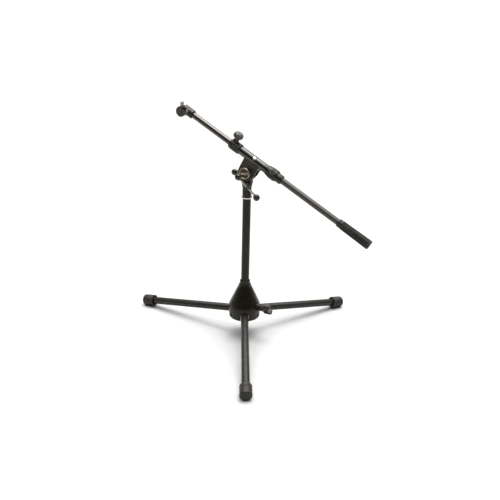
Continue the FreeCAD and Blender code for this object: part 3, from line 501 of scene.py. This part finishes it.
FINISHES = {
    "upright_paint": paint("upright_enamel", (0.0105, 0.009, 0.0055), (0.07, 0.06, 0.05), 0.26,
                           specular=0.24),
    "leg_paint": paint("leg_enamel", (0.016, 0.0145, 0.013), (0.09, 0.085, 0.08), 0.30, specular=0.32),
    "gloss_chrome_black": paint("gloss_enamel", (0.008, 0.008, 0.009), (0.10, 0.10, 0.10), 0.16,
                                peel_mm=2.4, coat=0.6, dust=0.05),
    "cast_black": cast("cast_enamel", (0.0075, 0.0065, 0.0035), (0.08, 0.07, 0.05), 0.24, specular=0.26),
    "clamp_plastic": plastic("clamp_nylon", (0.009, 0.009, 0.0085), (0.08, 0.078, 0.074), 0.28, specular=0.4),
    "knob_plastic": plastic("knob_nylon", (0.026, 0.027, 0.022), (0.13, 0.13, 0.11), 0.36, worn_from=27),
    "ball_plastic": plastic("ball_plastic", (0.008, 0.008, 0.009), (0.06, 0.06, 0.06), 0.12, texture_mm=1.2),
    "rubber_black": rubber("boot_rubber", (0.014, 0.013, 0.0125), (0.085, 0.08, 0.075), 0.48),
    "grip_rubber": rubber("grip_rubber", (0.011, 0.0105, 0.010), (0.07, 0.067, 0.063), 0.38),
    "zinc_bright": steel("zinc_plate", (0.78, 0.75, 0.66), (0.40, 0.36, 0.28), 0.24),
    "nickel_worn": steel("worn_nickel", (0.34, 0.28, 0.20), (0.12, 0.09, 0.06), 0.36, tarnish=0.5),
    "dark_steel": steel("black_oxide_steel", (0.060, 0.058, 0.056), (0.10, 0.08, 0.06), 0.34),
    "bare_steel": steel("plain_steel", (0.36, 0.35, 0.34), (0.20, 0.16, 0.12), 0.34),
    "inner_plastic": plastic("inner_acetal", (0.020, 0.020, 0.020), (0.08, 0.08, 0.08), 0.45),
    "friction_fibre": plastic("pressed_fibre", (0.090, 0.060, 0.035), (0.16, 0.12, 0.08), 0.75,
                              texture_mm=0.8),
}
for name, node in NODES.items():
    node.data.materials.clear()
    node.data.materials.append(FINISHES[SLOTS[name]])


# ---------------------------------------------------------------- shapes of the separate pieces

def reach(node, place):
    """Lowest and highest Z and largest radius of a CAD node in mm, in a frame with Z along it."""
    return [value / MM for value in spread(node, place)]


def rod(radius, low, high, edge=0.4, segments=64, shape=None):
    """A solid round bar with softened ends."""
    outline = softened([(0, low), (radius, low), (radius, high), (0, high)], edge, 3)
    return turned(outline, segments, shape)


def box(x, y, z):
    """Vertices and faces of a block between pairs of limits in mm."""
    corners = [(a * MM, b * MM, c * MM) for a in x for b in y for c in z]
    return corners, [(0, 1, 3, 2), (4, 6, 7, 5), (0, 4, 5, 1), (2, 3, 7, 6), (0, 2, 6, 4), (1, 5, 7, 3)]


def gathered(name, shapes, sharp=40.0):
    """One mesh from several separate (verts, faces, place)."""
    verts, faces = [], []
    for some, joined, place in shapes:
        start = len(verts)
        verts += [place @ Vector(point) for point in some]
        faces += [tuple(index + start for index in face) for face in joined]
    return finish_mesh(name, verts, faces, sharp)


def hollow(outer, inner, low, high, lip=0.3):
    """A plain tube with softened lips, closed on itself."""
    ring = [(inner, low), (outer, low), (outer, high), (inner, high)]
    return turned(softened(ring, lip, 3, closed=True), 96, closed=True)


def make_tube(node, place, wall, finish=None, lip=0.35):
    low, high, radius = reach(node, place)
    verts, faces = hollow(radius, radius - wall, low, high, lip)
    piece(node + "_skin", finish_mesh(node, verts, faces), place, [node], finish or FINISHES[SLOTS[node]])


def make_upright():
    make_tube("upright_tube", Matrix.Identity(4), 1.5)
    low, high, radius = reach("lock_ring", Matrix.Identity(4))
    verts, faces = turned(softened([
        (6.0, low), (radius, low), (radius, high), (6.0, high)], 0.7, 4, closed=True), 128, closed=True)
    piece("lock_ring_plate", finish_mesh("lock_ring", verts, faces), Matrix.Identity(4), ["lock_ring"],
          FINISHES["zinc_bright"])


def boot_section(radius, floor):
    """A ring of (across, up) points: round, and squashed flat where it would pass the floor."""
    steps, soft = 96, 0.5
    points = []
    for step in range(steps):
        turn = FULL_TURN * (step + 0.5) / steps
        up = radius * math.sin(turn)
        over = max(0.0, floor + soft - up)
        if over > 0:
            up = max(floor + soft - over * 0.5, floor)
        points.append((radius * math.cos(turn), up))
    return points


def make_boot(name):
    """A moulded rubber boot: a wider mouth, a shallow ring, a rounded toe and a small flat below."""
    place = leg_frame(name)
    node = name + "_rubber_foot"
    _, tip, _ = reach(name + "_leg_tube", place)
    pin = place_of(name + "_leg_fold").z / MM
    slope = math.asin(-(place.to_3x3() @ Vector((0, 0, 1))).z)
    start, end, radius, toe = tip - 28.5, tip + 4.5, 14.5, 5.2
    ring = radius - 0.4
    levels = [(start + 4.0, 9.55), (start + 4.0, 11.1), (start + 0.6, 11.2), (start, 11.8),
              (start, radius - 1.0), (start + 0.3, radius - 0.3), (start + 1.0, radius),
              (start + 5.0, radius), (start + 5.6, ring), (start + 7.0, ring), (start + 7.6, radius),
              (start + 16, radius), (start + 21, radius)]
    for step in range(11):
        turn = math.pi / 2 * step / 10
        levels.append((end - toe + toe * math.sin(turn), radius - toe * (1 - math.cos(turn))))
    levels.append((end, 4.0))
    verts, faces = [], []
    for along, size in levels:
        floor = -(pin - along * math.sin(slope)) / math.cos(slope)
        section = boot_section(size, floor)
        count = len(section)
        verts += [(up * MM, -across * MM, along * MM) for across, up in section]
    for level in range(len(levels) - 1):
        for step in range(count):
            a = level * count + step
            b = level * count + (step + 1) % count
            faces.append((a, b, b + count, a + count))
    faces.append(tuple(range((len(levels) - 1) * count, len(levels) * count)))
    mesh = finish_mesh(node, verts, faces, 50)
    piece(node + "_moulding", mesh, place, [node], FINISHES["rubber_black"])


def make_legs():
    for name in LEG_NAMES:
        make_tube(name + "_leg_tube", leg_frame(name), 1.4)
        make_boot(name)


def clamp_frame():
    """Z outwards along the bell's clamp screw, from the upright's axis."""
    out = axis_of("bell_knob_turn")
    centre = place_of("bell_knob_turn")
    return facing(Vector((0, 0, centre.z)), out, UP)


def make_bell():
    """The bell: a lathe-smooth cone on a skirt, with its notches, boss and screw seats."""
    low, high, _ = reach("bell_housing", Matrix.Identity(4))
    rim, shoulder, neck, bore = 38.4, 41.0, 12.6, 10.06
    outside = [(rim - 3.4, low), (rim - 0.9, low), (rim, low + 0.9), (shoulder, low + 29.5)]
    cone = [(neck + 2.0, high - 11), (neck + 2.0, high - 10), (neck, high - 10), (neck, high - 0.8),
            (neck - 0.8, high), (bore, high)]
    inside = [(bore, high - 32), (14.5, high - 32), (shoulder - 3.4, low + 27.5)]
    rounded = softened([outside[2], outside[3], cone[0]], 9.5, 10)
    outline = refined(outside[:3] + rounded[1:-1] + cone + inside, 12.0)
    shapes = [(*turned(outline, 160, closed=True), Matrix.Identity(4))]
    clamp = clamp_frame()
    boss_end = reach("bell_housing", clamp)[1]
    shapes.append((*rod(8.5, 26, boss_end, 0.8, 72), clamp))
    cut = [(*rod(4.06, 8, 70, 0.01), clamp)]
    for name in LEG_NAMES:
        place = leg_frame(name)
        cut.append((*rod(NOTCH_HALF, 7.5, 67, 0.01, 72), place @ shifted(x=NOTCH_RISE)))
        out = (place.to_3x3() @ Vector((0, 0, 1))).xy.normalized()
        level = facing(Vector((0, 0, 0)), out.to_3d(), UP)
        drop = (place @ Vector((0, 0, 18 * MM))).z / MM + NOTCH_RISE
        cut.append((*box((low - 5, drop), (-NOTCH_HALF, NOTCH_HALF), (25, 45)), level))
    for azimuth in screw_azimuths():
        cut.append((*rod(4.1, rim - 1.3, rim + 12, 0.01, 40), skirt_frame(azimuth)))
    mesh = united("bell", shapes, 32.0, cut)
    piece("bell_casting", mesh, Matrix.Identity(4), ["bell_housing"], FINISHES["cast_black"])


def screw_azimuths():
    """The skirt screws lie midway between the legs."""
    made = []
    for name in LEG_NAMES:
        out = leg_frame(name).to_3x3() @ Vector((0, 0, -1))
        made.append(math.atan2(out.y, out.x))
    return made


def skirt_frame(azimuth):
    middle = centre_of("skirt_screws")
    return facing(Vector((0, 0, middle.z)), Vector((math.cos(azimuth), math.sin(azimuth), 0)), UP)


def socket_screw(head, seat, shank, root, socket, depth, thick):
    """A small pan-head screw with a hexagon socket; heights run outwards from its seat."""
    outline = [(0, root), (shank, root), (shank, seat), (head, seat)]
    outline += softened([(head, seat), (head, seat + thick), (socket * 1.25, seat + thick)], 0.45, 3)[1:]
    outline += [(socket * 1.2, seat + thick), (socket * 1.1, seat + thick - 0.15),
                (socket, seat + thick - depth), (0, seat + thick - depth)]
    return turned(outline, 48, hexagon(socket * 0.9, socket * 1.15))


def make_skirt_screws():
    shapes = []
    for azimuth in screw_azimuths():
        place = skirt_frame(azimuth)
        shapes.append((*socket_screw(3.35, 37.1, 2.0, 28.6, 1.7, 1.0, 1.2), place))
    piece("skirt_screw_set", gathered("skirt_screws", shapes), Matrix.Identity(4), ["skirt_screws"],
          BLACK_SCREW_AND_HOLE_SHADE)


def make_wing_knob():
    """A moulded knob with two thick wings and a saddle between them."""
    place = clamp_frame()
    low, high, radius = reach("bell_wing_knob", place)
    node = NODES["bell_wing_knob"]
    back = place.inverted()
    far = max((back @ v.co for v in node.data.vertices), key=lambda p: p.xy.length)
    lean = math.atan2(far.y, far.x)
    lean = (lean + math.pi / 2) % math.pi - math.pi / 2
    lean *= WING_REST / abs(lean)
    top, root = high, low + 7.0

    def lobes(distance, height, angle):
        wing = abs(math.cos(angle)) ** 2.2
        grown = smoothstep(low + 4.5, root + 3.0, height)
        waist = 6.4 + 2.0 * (1 - grown)
        return distance * (waist + (radius - waist) * wing * grown) / radius if distance > 0.5 else distance

    outline = softened([(0, low), (radius * 0.99, low), (radius, low + 4), (radius, root + 4),
                        (radius, top - 2.4), (radius * 0.78, top), (0, top)], 2.6, 6)
    outline = refined(outline, 1.2)
    verts, faces = turned(outline, 128, lobes)
    moulded = []
    for x, y, z in verts:
        height = z / MM
        if height > root + 2:
            side = smoothstep(2.5, 10.0, abs(x) / MM)
            here = (root + 5.5) + (top - root - 5.5) * side
            height = (root + 2) + (height - root - 2) * (here - root - 2) / (top - root - 2)
        squeeze = 1.0 - 0.10 * smoothstep(root + 4, top, z / MM)
        moulded.append((x, y * squeeze, height * MM))
    mesh = finish_mesh("bell_wing_knob", moulded, faces, 60)
    mesh.transform(Matrix.Rotation(lean, 4, "Z"))
    piece("wing_knob_moulding", mesh, place, ["bell_wing_knob"], WING_PLASTIC)
    low, high, radius = reach("bell_clamp_screw", place)
    outline = softened([(0, low), (radius - 0.8, low), (radius, low + 1), (radius, high), (0, high)], 0.3)
    verts, faces = turned(refined(outline, 0.35), 48, threads(1.25, 0.55, low + 1, high - 2))
    piece("bell_screw_thread", finish_mesh("bell_clamp_screw", verts, faces, 70), place,
          ["bell_clamp_screw"], FINISHES["dark_steel"])


def cross_bar(side, place):
    """A sliding bar and the balls on its ends; place has its origin on the screw's axis."""
    low, high, radius = reach(side + "_bar", place)
    verts, faces = rod(radius, low, high, 0.3, 40)
    piece(side + "_rod", finish_mesh(side + "_bar", verts, faces), place, [side + "_bar"],
          FINISHES["bare_steel"])
    first, last, size = reach(side + "_balls", place)
    shapes = []
    for centre, way in ((last - size, 1), (first + size, -1)):
        outline = [(radius + 0.05, -size * 1.02), (radius + 1.2, -size * 1.02), (radius + 1.7, -size * 0.9)]
        turn = math.asin(min(1.0, (radius + 1.9) / size))
        for step in range(33):
            angle = turn + (math.pi - turn) * step / 32
            outline.append((size * math.sin(angle), -size * math.cos(angle)))
        shapes.append((*turned(outline, 64), place_along(centre, way)))
    balls = gathered(side + "_balls", shapes, 50)
    piece(side + "_ball_pair", balls, place, [side + "_balls"], FINISHES["ball_plastic"])


def place_along(height, way):
    """Shift along Z, turned end for end when way is -1."""
    made = shifted(z=height)
    return made if way > 0 else made @ Matrix.Rotation(math.pi, 4, "X")


def screw_frame(turn_joint, slide_joint):
    """Z outwards along a clamp screw and X along its sliding bar."""
    return facing(place_of(turn_joint), axis_of(turn_joint), axis_of(slide_joint))


def bar_frame(turn_joint, slide_joint, node):
    """Z along a sliding bar, from where the bar crosses its screw."""
    out = axis_of(turn_joint)
    origin = place_of(turn_joint)
    origin = origin + out * (centre_of(node) - origin).dot(out)
    return facing(origin, axis_of(slide_joint), out)


def clamp_screw(node, place, bar_node, profile, thread):
    """A turned clamp screw with a cross hole for its bar."""
    shapes = [(*turned(profile, 64, thread), Matrix.Identity(4))]
    height = (place.inverted() @ centre_of(bar_node)).z / MM
    cross = Matrix.Translation((0, 0, height * MM)) @ Matrix.Rotation(math.pi / 2, 4, "Y")
    mesh = united(node, shapes, 40.0, [(*rod(2.36, -14, 14, 0.01, 40), cross)])
    piece(node + "_turned", mesh, place, [node], FINISHES["dark_steel"])


def make_swivel_clamp():
    place = screw_frame("swivel_screw_turn", "swivel_bar_slide")
    low, high, _ = reach("swivel_clamp_screw", place)
    neck = high - 18.4
    profile = refined([(0, low), (2.2, low), (2.6, low + 0.5), (2.6, neck)], 0.3)
    profile += softened([(2.6, neck), (5.8, neck), (5.8, neck + 1.4), (4.4, neck + 2.6), (4.4, high - 0.8),
                         (3.7, high), (0, high)], 0.4, 3)[1:]
    cut = threads(0.8, 0.35, low + 1, neck - 2)
    clamp_screw("swivel_clamp_screw", place, "swivel_clamp_bar", profile, cut)
    cross_bar("swivel_clamp", bar_frame("swivel_screw_turn", "swivel_bar_slide", "swivel_clamp_bar"))


def make_tilt_clamp():
    place = screw_frame("tilt_screw_turn", "tilt_bar_slide")
    low, high, _ = reach("tilt_clamp_screw", place)
    neck = high - 19.1
    profile = refined([(0, low), (4.0, low), (4.0, neck)], 0.5)
    profile += softened([(4.0, neck), (8.2, neck), (8.2, neck + 1.7), (6.0, neck + 2.9), (6.0, high - 0.8),
                         (5.2, high), (0, high)], 0.5, 3)[1:]
    clamp_screw("tilt_clamp_screw", place, "tilt_clamp_bar", profile, threads(1.25, 0.5, low + 4, low + 16))
    cross_bar("tilt_clamp", bar_frame("tilt_screw_turn", "tilt_bar_slide", "tilt_clamp_bar"))


def make_pivot_nut():
    """The round nut: a bright raised rim round a dark dish, and a bar cast across it."""
    out = -axis_of("boom_tilt")
    rough = facing(place_of("boom_tilt"), out, axis_of("rod_slide"))
    low, high, radius = reach("pivot_nut", rough)
    back = rough.inverted()
    raised = [back @ v.co for v in NODES["pivot_nut"].data.vertices]
    raised = [p for p in raised if p.z / MM > high - 0.3 and p.xy.length / MM < radius * 0.76]
    far = max(raised, key=lambda p: p.xy.length)
    lean = math.atan2(far.y, far.x) - math.atan2(2.6, 10.2)
    dish = radius - 2.3
    outline = softened([(0, low), (radius - 0.8, low), (radius, low + 1.0), (radius, high - 1.4),
                        (radius - 1.2, high), (dish, high)], 0.9, 5)
    outline += [(dish - 0.5, high - 0.5), (dish - 1.2, high - 2.2), (dish - 2.0, high - 2.6),
                (0, high - 2.6)]
    bar = rounded_prism(softened([(-9.9, -2.6), (9.9, -2.6), (9.9, 2.6), (-9.9, 2.6)], 1.6, 4, closed=True),
                        high - 3.0, high - 0.05, 0.9)
    shapes = [(*turned(outline, 96), Matrix.Identity(4)), (*bar, Matrix.Rotation(lean, 4, "Z"))]
    hole = [(*rod(4.06, low - 1, low + 3.2, 0.01, 40), Matrix.Identity(4))]
    mesh = united("pivot_nut", shapes, 35.0, hole)
    made = piece("pivot_nut_casting", mesh, rough, ["pivot_nut"], FINISHES["nickel_worn"])
    # The faces sunk in the dish get a second finish, darker than the rim.
    mesh.materials.append(DARKER_DISH_FINISH)
    for face in mesh.polygons:
        sunk = face.center.z / MM < high - 1.6 and face.center.xy.length / MM < dish - 0.2
        if sunk and face.normal.z > -0.5:
            face.material_index = 1
    return made


def make_boom_tubes():
    """The outer tube with rolled lips, the rod that slides in it and the small parts on them."""
    low, high, radius = reach("boom_outer_tube", BOOM)
    inner = 8.8
    ring = softened([(inner, low), (radius, low), (radius, high), (inner, high)], 0.5, 4, closed=True)
    shapes = [(*turned(refined(ring, 12.0, closed=True), 128, closed=True), Matrix.Identity(4))]
    side = BOOM.inverted() @ centre_of("liner_rivet")
    out = facing(Vector((0, 0, side.z)), Vector((side.x, side.y, 0)), Vector((0, 0, 1)))
    mesh = united("boom_outer_tube", shapes, 40.0, [(*rod(4.0, radius - 0.75, radius + 3, 0.01, 40), out)])
    piece("outer_tube_skin", mesh, BOOM, ["boom_outer_tube"], FINISHES["gloss_chrome_black"])
    make_tube("boom_rod", BOOM, 1.4, ROD_PAINT)
    place = BOOM @ out
    low, high, size = reach("liner_rivet", place)
    verts, faces = turned(softened([(0, low), (1.9, low), (1.9, high - 2.0), (size, high - 2.0),
                                    (size * 0.93, high - 0.6), (size * 0.4, high), (0, high)], 0.6, 5), 48)
    piece("liner_rivet_head", finish_mesh("liner_rivet", verts, faces), place, ["liner_rivet"],
          FINISHES["zinc_bright"])


def make_front_clamp():
    """The split-free clamp on the outer tube's end, its boss, screw and scalloped knob."""
    low, high, _ = reach("front_clamp", BOOM)
    centre = (BOOM.inverted() @ place_of("front_knob_turn")).z / MM
    start = facing(BOOM @ Vector((0, 0, centre * MM)), axis_of("front_knob_turn"), axis_of("rod_slide"))
    radius = 12.6
    tube_end = reach("boom_outer_tube", BOOM)[0]
    bore, socket = 7.56, 10.37
    outline = softened([(bore, low), (radius - 1.9, low), (radius - 0.5, low + 2.2),
                        (radius - 0.5, low + 5.0), (radius, low + 5.8), (radius, high - 3.2),
                        (radius - 0.9, high - 1.2), (radius - 1.5, high), (socket, high),
                        (socket, tube_end), (bore, tube_end)], 0.5, 4, closed=True)
    ribs = grooves(20, 0.55, 1.6, low + 6.6, high - 3.6, above=radius - 0.6)
    shapes = [(*turned(refined(outline, 1.6, closed=True), 160, ribs, closed=True), Matrix.Identity(4))]
    inner = BOOM.inverted() @ start
    shapes.append((*turned(softened([(0, 9.8), (7.6, 9.8), (7.2, 12.0), (6.8, 12.8), (6.8, 14.0), (0, 14.0)],
                                    0.5, 4), 72), inner))
    cut = [(*rod(3.06, 5, 26, 0.01, 40), inner),
           (*rod(bore, low - 2, tube_end, 0.01, 96), Matrix.Identity(4))]
    mesh = united("front_clamp", shapes, 34.0, cut)
    piece("front_clamp_moulding", mesh, BOOM, ["front_clamp"], FINISHES["clamp_plastic"])
    low, high, radius = reach("front_clamp_knob", start)
    outline = [(0, low), (6.4, low), (6.1, low + 3.0), (6.3, low + 5.2), (radius - 4, low + 6.6),
               (radius - 1.2, low + 7.4), (radius, low + 9.4), (radius, low + 12.4),
               (radius - 0.6, low + 15.4), (radius - 2.4, high - 1.8), (radius - 5, high - 0.6),
               (4.4, high - 0.2), (4.0, high - 0.9), (0, high - 0.9)]
    outline = refined(softened(outline, 1.1, 4), 0.8)
    scallop = grooves(10, 1.1, 4.0, low + 7.0, high - 0.8, 2.5, above=7.5)
    verts, faces = turned(outline, 160, scallop)
    piece("front_knob_moulding", finish_mesh("front_clamp_knob", verts, faces, 50), start,
          ["front_clamp_knob"], FINISHES["knob_plastic"])
    low, high, radius = reach("front_clamp_screw", start)
    outline = [(0, low), (radius - 0.6, low), (radius, low + 0.6), (radius, high), (0, high)]
    verts, faces = turned(refined(outline, 0.25), 40, threads(1.0, 0.45, low + 1, high - 2))
    piece("front_screw_thread", finish_mesh("front_clamp_screw", verts, faces, 70), start,
          ["front_clamp_screw"], FINISHES["dark_steel"])


def make_rear_clutch():
    """The twist nut with its ribs, and the split collet behind it."""
    low, high, radius = reach("rear_twist_nut", BOOM)
    slim = radius - 1.7
    outline = softened([(9.51, low), (slim - 0.8, low), (slim, low + 1.0), (slim + 0.3, low + 5.5),
                        (radius - 0.5, low + 9.0), (radius, low + 12), (radius, high - 4.0),
                        (radius - 0.5, high - 2.6), (radius - 0.5, high - 1.2), (radius - 1.4, high),
                        (9.51, high)], 0.7, 4, closed=True)
    ribs = grooves(24, 0.6, 1.7, low + 8.0, high - 4.2, 2.0, above=slim - 0.2)
    verts, faces = turned(refined(outline, 1.5, closed=True), 192, ribs, closed=True)
    piece("twist_nut_moulding", finish_mesh("rear_twist_nut", verts, faces, 40), BOOM, ["rear_twist_nut"],
          FINISHES["clamp_plastic"])
    start, end, radius = reach("rear_collet", BOOM)
    show = high + 0.3
    outline = softened([(7.56, start), (9.45, start), (9.45, show), (radius, show), (radius, end - 0.8),
                        (radius - 0.8, end), (8.6, end), (8.6, end - 3), (7.56, end - 3)],
                       0.35, 3, closed=True)
    shapes = [(*turned(refined(outline, 4.0, closed=True), 128, closed=True), Matrix.Identity(4))]
    slots = []
    for turn in range(3):
        where = Matrix.Rotation(FULL_TURN * (turn + 0.25) / 3, 4, "Z")
        slots.append((*box((7.0, 13.0), (-0.5, 0.5), (end - 9, end + 1)), where))
    piece("collet_moulding", united("rear_collet", shapes, 34.0, slots), BOOM, ["rear_collet"],
          FINISHES["clamp_plastic"])


def make_grip():
    """A ribbed rubber grip: a smooth collar, then ribs to a rounded end with a small dimple."""
    low, high, radius = reach("grip", BOOM)
    slim = 9.7
    outline = softened([(7.5, low), (slim - 1.2, low), (slim, low + 1.6), (slim + 0.1, low + 6.4),
                        (slim - 0.3, low + 7.2), (slim - 0.3, low + 8.2), (slim + 0.4, low + 9.2),
                        (radius, high - 2.2), (radius - 1.4, high - 0.2),
                        (4.0, high), (3.4, high - 0.7), (0, high - 0.9)], 0.8, 4)
    ribs = grooves(18, 1.25, 2.5, low + 10.5, high - 2.8, 3.0, above=slim - 0.2)
    verts, faces = turned(refined(outline, 1.4), 216, ribs)
    back = [(0, high - 9.0), (7.5, high - 9.0), (7.5, low)]
    inner, inner_faces = turned(back, 216)
    shapes = [(verts, faces, Matrix.Identity(4)), (inner, inner_faces, Matrix.Identity(4))]
    piece("grip_moulding", gathered("grip", shapes, 55), BOOM, ["grip"], FINISHES["grip_rubber"])


def make_knuckle_parts():
    """The threaded stud, the knuckle's bolt and the clamp's set screw."""
    pin = next(mount for mount in frame["record"]["mounts"] if mount["name"] == "mic_thread")
    place = facing(Vector(pin["pos_m"]), Vector(pin["axis"]), axis_of("mic_tilt"))
    low, high, radius = reach("mic_stud", place)
    start = high - 9.7
    outline = [(0, low), (2.6, low), (2.6, start), (radius - 0.7, start), (radius, start + 0.7)]
    outline += refined([(radius, start + 0.7), (radius, high - 0.9), (radius - 0.9, high)], 0.2)[1:]
    outline += [(0, high)]
    verts, faces = turned(outline, 72, threads(1.5875, 0.75, start + 0.6, high - 0.4))
    piece("mic_stud_thread", finish_mesh("mic_stud", verts, faces, 70), place, ["mic_stud"],
          FINISHES["bare_steel"])
    across = facing(place_of("mic_tilt"), axis_of("mic_tilt"), axis_of("rod_slide"))
    low, high, head = reach("knuckle_bolt", across)
    outline = [(0, low + 1.1)] + softened([(2.0, low + 1.1), (2.2, low), (head - 0.5, low), (head, low + 0.8),
                                           (head, low + 2), (2.5, low + 2)], 0.25, 3)
    outline += softened([(2.5, high - 2), (head, high - 2), (head, high - 0.8), (head - 0.5, high),
                         (0, high)], 0.25, 3)
    verts, faces = turned(outline, 48, hexagon(1.9, 2.3))
    piece("knuckle_bolt_turned", finish_mesh("knuckle_bolt", verts, faces), across, ["knuckle_bolt"],
          FINISHES["dark_steel"])
    middle = centre_of("tip_screw")
    on_axis = BOOM @ Vector((0, 0, (BOOM.inverted() @ middle).z))
    place = facing(on_axis, middle - on_axis, axis_of("rod_slide"))
    low, high, head = reach("tip_screw", place)
    shape = socket_screw(head, high - 1.8, 1.6, low, 1.4, 1.0, 1.8)
    piece("tip_screw_turned", finish_mesh("tip_screw", *shape), place, ["tip_screw"], FINISHES["zinc_bright"])


def make_base_fixings():
    """Hinge pins with domed heads and the hub's hexagon bolt."""
    shapes = []
    for name in LEG_NAMES:
        place = facing(place_of(name + "_leg_fold"), axis_of(name + "_leg_fold"), UP)
        half = 7.9
        dome = softened([(0, -half), (1.9, -half), (2.5, -half + 0.6), (2.5, half - 0.6), (1.9, half),
                         (0, half)], 0.5, 3)
        shapes.append((*turned(dome, 40), place))
    piece("hinge_pin_set", gathered("leg_hinge_pins", shapes), Matrix.Identity(4), ["leg_hinge_pins"],
          FINISHES["dark_steel"])
    low, high, head = reach("hub_bolt", Matrix.Identity(4))
    outline = softened([(0, low), (head - 1.0, low), (head, low + 0.8), (head, low + 4.6), (3.1, low + 4.6),
                        (3.1, high), (0, high)], 0.3, 2)
    verts, faces = turned(outline, 72, hexagon(head * 0.75, head * 1.02))
    piece("hub_bolt_head", finish_mesh("hub_bolt", verts, faces), Matrix.Identity(4), ["hub_bolt"],
          FINISHES["dark_steel"])


# A darker finish for the sunk dish of the pivot nut.
DARKER_DISH_FINISH = cast("dish_enamel", (0.030, 0.027, 0.020), (0.20, 0.17, 0.12), 0.42)
# Skirt screw heads: their own black oxide, made near-black as painted shade for the dark holes they sit in.
BLACK_SCREW_AND_HOLE_SHADE = steel("blackened_steel", (0.012, 0.011, 0.010), (0.03, 0.025, 0.02), 0.5)
ROD_PAINT = paint("rod_enamel", (0.008, 0.0075, 0.007), (0.08, 0.075, 0.07), 0.13, 0.95, 2.4, dust=0.05,
                  dull_from=30)
WING_PLASTIC = plastic("wing_nylon", (0.020, 0.019, 0.018), (0.13, 0.12, 0.11), 0.30)
make_upright()
make_legs()
make_bell()
make_skirt_screws()
make_wing_knob()
make_swivel_clamp()
make_tilt_clamp()
make_pivot_nut()
make_boom_tubes()
make_front_clamp()
make_rear_clutch()
make_grip()
make_knuckle_parts()
make_base_fixings()


# ---------------------------------------------------------------- light, floor and camera

def make_floor():
    """A pale plain floor that fills the view, with a barely uneven tone."""
    half = 30.0
    mesh = finish_mesh("floor", [(-half, -half, 0), (half, -half, 0), (half, half, 0), (-half, half, 0)],
                       [(0, 1, 2, 3)])
    floor = bpy.data.objects.new("floor", mesh)
    bpy.context.scene.collection.objects.link(floor)
    made = Finish("floor_paper", specular=0.1)
    tone = made.levels(made.noise(400, 2.0), 0.3, 0.7)
    colour = made.mixed(tone, [0.52] * 3, [0.54] * 3)
    mesh.materials.append(made.done(colour, made.levels(tone, 0, 1, 0.9, 0.95)))


def make_light(kind, name, place, aim, energy, **settings):
    lamp = bpy.data.lights.new(name, kind)
    lamp.energy = energy
    for key, value in settings.items():
        setattr(lamp, key, value)
    made = bpy.data.objects.new(name, lamp)
    made.location = place
    made.rotation_euler = (Vector(aim) - Vector(place)).to_track_quat("-Z", "Y").to_euler()
    bpy.context.scene.collection.objects.link(made)


def make_world(bright, dim):
    """An even white room, except that the side behind the photographer is dark."""
    world = bpy.data.worlds.new("studio")
    world.use_nodes = True
    nodes, links = world.node_tree.nodes, world.node_tree.links
    place = nodes.new("ShaderNodeTexCoord")
    split = nodes.new("ShaderNodeSeparateXYZ")
    links.new(place.outputs["Generated"], split.inputs[0])
    fade = nodes.new("ShaderNodeMapRange")
    fade.interpolation_type = "SMOOTHSTEP"
    links.new(split.outputs["Y"], fade.inputs["Value"])
    fade.inputs["From Min"].default_value = -0.75
    fade.inputs["From Max"].default_value = -0.05
    fade.inputs["To Min"].default_value = dim
    fade.inputs["To Max"].default_value = bright
    back = nodes["Background"]
    back.inputs["Color"].default_value = (1.0, 1.0, 1.0, 1.0)
    links.new(fade.outputs["Result"], back.inputs["Strength"])
    bpy.context.scene.world = world


def make_camera():
    """The photograph's viewing angle."""
    lens, sensor, roll = 51.56, 36.0, 1.386
    place = Vector((-0.0384, -1.6227, 0.8998))
    ahead = Vector((0.02785, 0.92363, -0.38227)).normalized()
    camera = bpy.data.cameras.new("camera")
    camera.lens = lens
    camera.sensor_width = sensor
    made = bpy.data.objects.new("camera", camera)
    turn = ahead.to_track_quat("-Z", "Y") @ Matrix.Rotation(math.radians(roll), 3, "Z").to_quaternion()
    made.rotation_euler = turn.to_euler()
    made.location = place
    bpy.context.scene.collection.objects.link(made)
    bpy.context.scene.camera = made


bpy.context.scene.view_settings.view_transform = "Standard"
make_floor()
make_world(0.28, 0.05)
make_light("SUN", "overhead", (0.25, 0.5, 3.0), (0, 0, 0), 4.9, angle=math.radians(84))
make_light("SUN", "overhead_core", (0.25, 0.5, 3.0), (0, 0, 0), 1.4, angle=math.radians(26))
make_camera()
